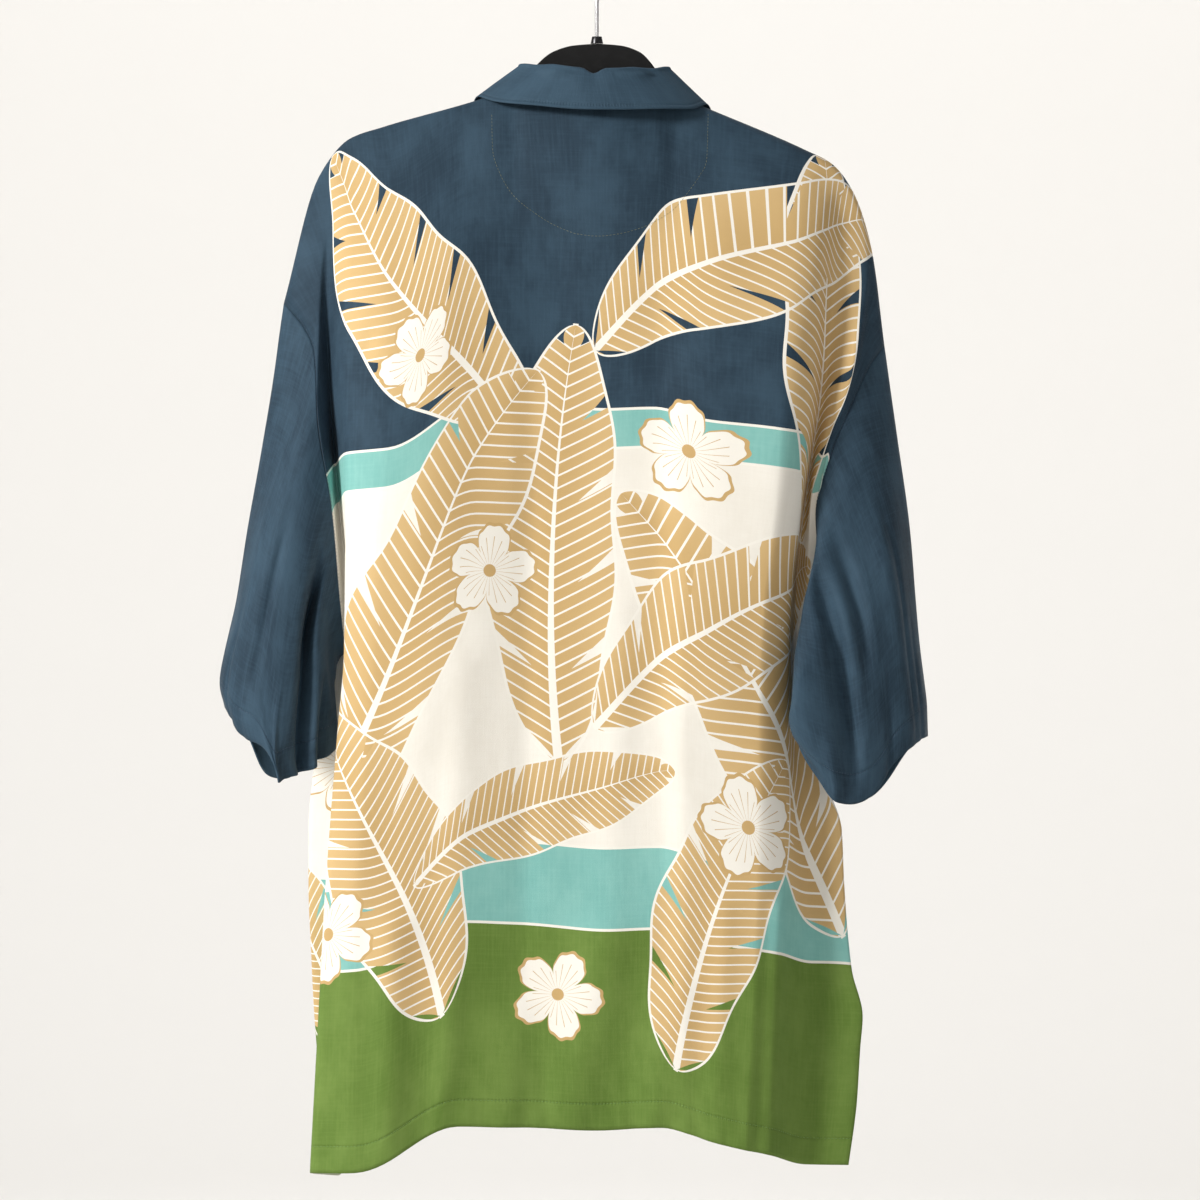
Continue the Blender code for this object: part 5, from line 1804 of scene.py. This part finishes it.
@dataclass
class Hanger:
    """The slim flocked hanger: its plate under the shoulders, its cap and its wire hook."""

    thickness: float = 6.0
    edge: float = 2.6
    under_ridge: float = 2.15
    arm_height: float = 20.0
    left_end: float = -204.0
    right_end: float = 194.0
    clear_left: float = 9.0
    clear_right: float = 8.0
    hump: Table = ((-66, -126), (-60, -115), (-52, -104), (-36, -90.8), (-19, -85.8), (0, -84.6),
                   (19, -85.8), (35, -91), (48, -104.5), (54.5, -117), (59, -131))
    underside: Table = ((40, -134), (22, -121), (0, -115), (-22, -120), (-42, -132))
    tip: Table = ((2.4, 0.12), (3.5, 0.35), (3.6, 0.55), (2.5, 0.78), (1.0, 0.93))
    arm_points: int = 24
    hump_points: int = 61
    arch_points: int = 41
    cap_radius: float = 5.3 * MM
    cap_height: float = 5.8 * MM
    cap_taper: float = 0.78
    cap_rim: float = 0.22
    cap_slope: float = 0.12
    cap_dip: float = 0.5 * MM
    cap_rounding: float = 0.7 * MM
    cap_seat: float = -84.3 * MM
    socket: float = 0.4
    wire: float = 1.75 * MM
    loop: float = 21.0 * MM
    stem_top: float = -52.0 * MM
    loop_start: float = -38.0
    loop_end: float = 205.0
    wire_end: Table = ((1, 0.45), (2, 0.85))
    reach: float = 13 * MM

    def outline(self, ridge: Array) -> Outline:
        """Returns the plate's outline (x, z): under the ridge, over the hump and back."""
        xs, zs = ridge[:, 0] / MM, ridge[:, 2] / MM
        low, high = self.hump[0][0] - self.clear_left, self.hump[-1][0] + self.clear_right

        def under_ridge(start: float, end: float) -> Outline:
            places = np.linspace(start, end, self.arm_points)
            return [(x, float(np.interp(x, xs, zs)) - self.under_ridge) for x in places]

        def curved(ends: list, count: int) -> Outline:
            line = np.array(ends, float)
            places = np.linspace(line[0, 0], line[-1, 0], count)[1:-1]
            return list(zip(places, smooth_through(line[:, 0], line[:, 1], places)[:, 0]))

        def tip(end: tuple[float, float], way: int) -> Outline:
            return [(end[0] + way * out, end[1] - self.arm_height * down)
                    for out, down in self.tip[::way]]

        left, right = under_ridge(self.left_end, low), under_ridge(high, self.right_end)
        over = curved([left[-1], *self.hump, right[0]], self.hump_points)
        right_low, left_low = ([(x, z - self.arm_height) for x, z in line[::-1]]
                               for line in (right, left))
        under = curved([left_low[0], *self.underside[::-1], right_low[-1]], self.arch_points)
        return (left + over + right + tip(right[-1], 1) + right_low + under[::-1] + left_low
                + tip(left[0], -1))

    def plate(self, ridge: Array) -> Piece:
        """Models the plate: a disc drawn out to the outline, thickened and rounded."""
        outline = self.outline(ridge)
        deselect()
        bpy.ops.mesh.primitive_circle_add(vertices=len(outline), radius=0.1, fill_type="NGON")
        plate = start_piece("hanger_plate")
        for vertex, (x, z) in zip(plate.data.vertices, outline):
            vertex.co = (x * MM, -self.thickness / 2 * MM, z * MM)
        edit()
        bpy.ops.mesh.select_all(action="SELECT")
        bpy.ops.mesh.extrude_region_move(
            TRANSFORM_OT_translate={"value": (0, self.thickness * MM, 0)})
        bpy.ops.mesh.select_all(action="SELECT")
        bpy.ops.mesh.normals_make_consistent(inside=False)
        leave_edit()
        soften(plate, self.edge * MM, 5, corner=60)
        return complete(plate, smooth_below=50)

    def cap(self) -> Piece:
        """Models the turned cap that the wire stands in."""
        deselect()
        bpy.ops.mesh.primitive_cylinder_add(
            vertices=48, radius=self.cap_radius, depth=self.cap_height,
            location=(0, 0, self.cap_seat + self.cap_height / 2))
        cap = settle(start_piece("hanger_cap"))
        pick_top(cap)
        bpy.ops.transform.resize(value=(self.cap_taper, self.cap_taper, 1))
        bpy.ops.mesh.inset(thickness=self.cap_radius * self.cap_rim, depth=0)
        bpy.ops.mesh.inset(thickness=self.cap_radius * self.cap_slope, depth=-self.cap_dip)
        leave_edit()
        soften(cap, self.cap_rounding, 4, corner=40)
        return complete(cap, smooth_below=50)

    def path(self) -> Outline:
        """Returns the wire's line (x, z) from its socket, up the stem and round the loop."""
        base = self.cap_seat + self.socket * self.cap_height
        centre = self.wire - self.loop
        leave = math.radians(self.loop_start)
        joined = np.array((self.loop * math.cos(leave), centre + self.loop * math.sin(leave)))
        stem = [(0.0, z) for z in np.linspace(base, self.stem_top, 8)]
        start, pull = np.array(stem[-1]), np.array([0, self.stem_top + self.reach])
        push = joined - self.reach * np.array([-math.sin(leave), math.cos(leave)])
        bend = [tuple((1 - t) ** 3 * start + 3 * (1 - t) ** 2 * t * pull
                      + 3 * (1 - t) * t**2 * push + t**3 * joined)
                for t in np.linspace(0, 1, 17)[1:-1]]
        turns = np.radians(np.linspace(self.loop_start, self.loop_end, 64))
        loop = [(self.loop * math.cos(a), centre + self.loop * math.sin(a)) for a in turns]
        return stem + bend + loop

    def hook(self) -> Piece:
        """Models the wire along its line, with a rounded end."""
        path = self.path()
        deselect()
        bpy.ops.curve.primitive_nurbs_path_add()
        hook = start_piece("hanger_wire")
        curve = hook.data
        curve.splines.clear()
        spline = curve.splines.new("POLY")
        spline.points.add(len(path) - 1)
        for point, (x, z) in zip(spline.points, path):
            point.co = (x, 0, z, 1)
        for back, width in self.wire_end:
            spline.points[len(path) - back].radius = width
        curve.dimensions = "3D"
        curve.bevel_depth, curve.bevel_resolution = self.wire, 6
        curve.use_fill_caps = True
        bpy.ops.object.convert(target="MESH")
        hook = start_piece("hanger_wire")
        hook.data.shade_smooth()
        return hook

    def build(self, ridge: Array) -> None:
        """Builds the plate, the cap and the hook, and dresses them."""
        dress(self.plate(ridge), FLOCK.make(), "flock", ("hanger_body",))
        dress(self.cap(), CAP.make(), "hook_metal", ("hanger_ferrule",))
        dress(self.hook(), WIRE.make(), "hook_metal", ("hanger_hook",))


# --- studio


@dataclass
class Studio:
    """The pale floor with its far round backdrop, the soft lights and the camera."""

    eye_x: float = 2.5 * MM
    eye_z: float = -546 * MM
    distance: float = 5.0
    view_width: float = 0.996
    sensor: float = 36.0
    floor_z: float = -1.55
    floor_radius: float = 7.5
    wall_height: float = 1.5
    wall_curve: float = 2.0
    curve_steps: int = 10
    floor_roughness: float = 0.9
    floor_colour: Colour = (0.80, 0.785, 0.76)
    world_colour: Colour = (1.0, 0.985, 0.965)
    world_strength: float = 0.42

    def floor(self) -> None:
        """Models the round floor and its backdrop: a disc drawn up into a bowl."""
        deselect()
        bpy.ops.mesh.primitive_circle_add(vertices=96, radius=self.floor_radius - self.wall_curve,
                                          fill_type="NGON", location=(0, 0, self.floor_z))
        floor = settle(start_piece("floor"))
        edit()
        bpy.ops.mesh.select_mode(type="EDGE")
        bends = np.linspace(0, math.pi / 2, self.curve_steps + 1)
        outs = self.floor_radius - self.wall_curve * (1 - np.sin(bends))
        rises = -self.wall_curve * np.diff(np.cos(bends))
        for wider, rise in zip(outs[1:] / outs[:-1], rises):
            self.draw_rim(wider, rise)
        self.draw_rim(1.0, self.wall_height)
        leave_edit()
        floor.data.shade_smooth()
        paint = FinishSketch("pale floor")
        floor.data.materials.append(paint.give({"Base Color": self.floor_colour,
                                                "Roughness": self.floor_roughness}))

    def draw_rim(self, wider: float, rise: float) -> None:
        """Draws the open rim up by a height and out by a factor, and leaves it selected."""
        bpy.ops.mesh.extrude_edges_move(TRANSFORM_OT_translate={"value": (0, 0, rise)})
        bpy.ops.transform.resize(value=(wider, wider, 1))

    def light(self, name: str, place: Point, size: float, power: float, colour: Colour,
              aim: Point) -> None:
        """Adds one soft area light that faces a point."""
        data = bpy.data.lights.new(name, "AREA")
        data.shape, data.size = "DISK", size
        data.energy, data.color = power, colour
        lamp = link(name, data)
        lamp.location = place
        lamp.rotation_euler = (Vector(aim) - Vector(place)).to_track_quat("-Z", "Y").to_euler()

    def build(self) -> None:
        """Builds the floor, the lights, the sky and the camera."""
        self.floor()
        middle = (0.0, 0.0, self.eye_z)
        self.light("key", (-2.6, -1.9, 0.9), 0.8, 128.0, (1.0, 0.985, 0.955), middle)
        self.light("fill", (2.2, -3.0, 0.1), 2.2, 6.0, (1.0, 0.99, 0.98), middle)
        self.light("front", (0.6, 2.8, 0.6), 2.2, 30.0, (1.0, 0.99, 0.98), middle)
        self.light("wall", (0.0, 3.4, 2.4), 3.4, 139.0, (1.0, 1.0, 1.0), (0.0, 7.5, -0.4))
        world = bpy.data.worlds.new("soft room")
        world.use_nodes = True
        sky = world.node_tree.nodes["Background"]
        sky.inputs[0].default_value = (*self.world_colour, 1)
        sky.inputs[1].default_value = self.world_strength
        bpy.context.scene.world = world
        data = bpy.data.cameras.new("camera")
        data.sensor_width = self.sensor
        data.lens = data.sensor_width * self.distance / self.view_width
        camera = link("camera", data)
        camera.location = (self.eye_x, -self.distance, self.eye_z)
        camera.rotation_euler = (math.pi / 2, 0, 0)
        bpy.context.scene.camera = camera
        bpy.context.scene.view_settings.view_transform = "Standard"


# --- the shirt


BACK_PRINT = Print(
    leaves=(
        Leaf(-0.040, 0.570, 126, 0.340, 0.16, 0.20),
        Leaf(0.215, 0.500, 97, 0.340, 0.15, -0.18),
        Leaf(0.020, 0.640, 33, 0.300, 0.16, 0.22),
        Leaf(-0.010, 0.300, 88, 0.360, 0.15, 0.16),
        Leaf(-0.210, 0.285, 62, 0.380, 0.16, 0.20),
        Leaf(0.250, 0.190, 122, 0.390, 0.15, -0.20),
        Leaf(0.020, 0.330, 36, 0.300, 0.16, 0.20),
        Leaf(-0.100, 0.095, 116, 0.320, 0.16, -0.20),
        Leaf(0.085, 0.050, 70, 0.290, 0.16, 0.18),
        Leaf(-0.130, 0.215, 20, 0.230, 0.15, 0.18),
    ),
    blooms=(
        Bloom(-0.070, 0.455, 10, 0.040),
        Bloom(0.150, 0.262, 34, 0.044),
        Bloom(-0.205, 0.195, 52, 0.041),
        Bloom(0.100, 0.560, 20, 0.042),
        Bloom(-0.010, 0.110, 66, 0.038),
        Bloom(-0.150, 0.660, 44, 0.040),
    ))
FRONT_LEFT_PRINT = Print(
    leaves=(
        Leaf(-0.060, 0.250, 70, 0.290, 0.17, 0.22),
        Leaf(0.110, 0.090, 112, 0.270, 0.16, -0.2),
        Leaf(-0.140, 0.060, 60, 0.240, 0.17, 0.2),
    ),
    blooms=(Bloom(0.060, 0.440, 20, 0.043), Bloom(-0.110, 0.330, 48, 0.044),
            Bloom(0.020, 0.120, 8, 0.040)))
FRONT_RIGHT_PRINT = Print(
    leaves=(
        Leaf(0.090, 0.270, 104, 0.285, 0.17, -0.22),
        Leaf(-0.080, 0.110, 66, 0.270, 0.16, 0.2),
        Leaf(0.150, 0.070, 118, 0.230, 0.17, -0.2),
    ),
    blooms=(Bloom(-0.050, 0.450, 30, 0.042), Bloom(0.120, 0.210, 12, 0.045),
            Bloom(-0.010, 0.300, 54, 0.040)))


@dataclass
class Shirt:
    """The shirt: its sheets in their hanging shape, cut pieces, stitches and buttons."""

    back: Panel = Panel(LEFT_SEAM, BACK_LINES, BACK_FOLDS, -1, False, 3, RIGHT_SEAM, SEAM_TO_SEAM)
    front_left: Panel = Panel(LEFT_SEAM, FRONT_LEFT_LINES, FRONT_LEFT_FOLDS, 1, True, 7)
    front_right: Panel = Panel(RIGHT_SEAM, FRONT_RIGHT_LINES, FRONT_RIGHT_FOLDS, 1, False, 11)
    collar: CollarShape = CollarShape()
    body_hem: float = 22 * MM
    sleeve_hem: float = 25 * MM
    edge_line: float = 1.6 * MM
    collar_line: float = 4.0 * MM
    edge_run: tuple[float, int] = (0.16, -8)
    armhole_line: float = 2.0 * MM
    armhole_run: tuple[int, int] = (8, -2)
    photo_middle: float = 597.0
    photo_top: float = -48.1
    pixel: float = 0.83
    moon_points: int = 120
    half_moon: Table = ((492, 115), (493, 150), (502, 179), (515, 199), (533, 214), (555, 228),
                        (579, 237), (598, 239), (617, 237), (637, 232), (655, 224), (674, 211),
                        (688, 194), (699, 178), (706, 163), (708, 115))

    def lay_out(self) -> dict[str, Sheet]:
        """Lays every piece's sheet out, sharing the normals where they meet."""
        rows = self.back.rows
        shares, underarm = rows.shares(), rows.underarm()
        back = self.back.sheet()
        neck_left = self.back.column_of("neck_left")
        neck_right = self.back.column_of("neck_right")
        left = self.front_left.sheet(back.points[0, :neck_left + 1])
        right = self.front_right.sheet(back.points[0, :neck_right - 1:-1])
        sleeve_left = LEFT_SLEEVE.sheet(back.points[:, 0], left.points[:, 0], underarm)
        sleeve_right = RIGHT_SLEEVE.sheet(back.points[:, -1], right.points[:, 0], underarm)
        end = int(np.argmin(np.abs(shares - self.collar.end_share)))
        neck = np.concatenate([left.points[end:0:-1, -1],
                               back.points[0, neck_left:neck_right + 1],
                               right.points[1:end + 1, -1]])
        marks = (end, end + neck_right - neck_left)
        collar = self.collar.sheet(neck, marks, tree_of([back, left, right]))
        share_normals([back, left, right, sleeve_left, sleeve_right, collar])
        return {"back": back, "front_left": left, "front_right": right,
                "sleeve_left": sleeve_left, "sleeve_right": sleeve_right, "collar": collar}

    def cut_pieces(self, sheets: dict[str, Sheet]) -> None:
        """Builds the six cut pieces on their sheets.

        Args:
            sheets: the sheets by piece.
        """
        effects = ClothEffects()
        printed, navy, body, sleeve = Ground.PRINTED, Ground.NAVY, self.body_hem, self.sleeve_hem
        rests = {printed: ("hanger_plate",), navy: ("back_cloth",)}
        for name, cloth, ground, line, pattern, slot, size, area in (
                ("back", "printed back cloth", printed, body, BACK_PRINT, "back_cloth",
                 (0.744, 0.874), 0.454),
                ("front_left", "printed left front cloth", printed, body, FRONT_LEFT_PRINT,
                 "front_cloth", (0.361, 0.910), 0.252),
                ("front_right", "printed right front cloth", printed, body, FRONT_RIGHT_PRINT,
                 "front_cloth", (0.331, 0.889), 0.214),
                ("sleeve_left", "washed navy sleeve cloth", navy, sleeve, None, "navy_cloth",
                 (0.635, 0.340), 0.082),
                ("sleeve_right", "washed navy sleeve cloth", navy, sleeve, None, "navy_cloth",
                 (0.609, 0.326), 0.089),
                ("collar", "washed navy collar cloth", navy, self.collar_line, None,
                 "navy_cloth", (0.385, 0.082), 0.025)):
            finish = ClothFinish(cloth, ground, effects, line, pattern)
            hem = 0.0 if name == "collar" else line
            ClothPiece(f"{name}_cloth", sheets[name], slot, size, area, rests[ground],
                       hem=hem).build(finish.make())

    def stitches(self, sheets: dict[str, Sheet]) -> None:
        """Sews the hems, the armholes, the front edges, the collar and the half moon."""
        sewing = Stitching()
        green, navy, pale = GREEN_THREAD.make(), NAVY_THREAD.make(), PALE_THREAD.make()
        back, *fronts, left, right, collar = (sheets[name] for name in (
            "back", "front_left", "front_right", "sleeve_left", "sleeve_right", "collar"))
        body = [row_at_height(sheet, self.body_hem) for sheet in (back, *fronts)]
        sewing.sew("body_hem_stitches", body, green, "back_cloth")
        sleeves = [row_at_height(sheet, self.sleeve_hem) for sheet in (left, right)]
        sewing.sew("sleeve_hem_stitches", sleeves, navy, "navy_cloth")
        shares, underarm = self.back.rows.shares(), self.back.rows.underarm()
        first, last = self.armhole_run
        armholes = slice(first, underarm + last)
        rows = [column_beside(sheet, self.armhole_line, from_end, armholes)
                for sheet, from_end in ((back, False), (back, True), (fronts[0], False),
                                        (fronts[1], False))]
        sewing.sew("armhole_stitches", rows, navy, "back_cloth")
        start, last = self.edge_run
        below = slice(int(np.argmin(np.abs(shares - start))), len(shares) + last)
        edges = [column_beside(sheet, self.edge_line, True, below) for sheet in fronts]
        sewing.sew("front_edge_stitches", edges, pale, "front_cloth")
        line = np.array([((x - self.photo_middle) * self.pixel * MM,
                          (self.photo_top - self.pixel * y) * MM) for x, y in self.half_moon])
        fine = np.linspace(0, len(line) - 1, self.moon_points)
        curve = smooth_through(np.arange(len(line)), line, fine)
        sewing.sew("half_moon_stitches", [drop_on(tree_of([back]), curve)],
                   OLIVE_THREAD.make(), "back_cloth")
        sewing.sew("collar_stitches", [row_at_height(collar, self.collar_line)], navy,
                   "navy_cloth")

    def build(self) -> None:
        """Builds the whole shirt."""
        sheets = self.lay_out()
        self.cut_pieces(sheets)
        self.stitches(sheets)
        Buttons().build(sheets["front_left"])
        Hanger().build(sheets["back"].points[0])


def main() -> None:
    """Loads the frame and dresses it."""
    logging.basicConfig(level=logging.INFO, format="%(name)s: %(message)s")
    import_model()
    Shirt().build()
    Studio().build()


if __name__ == "__main__":
    main()
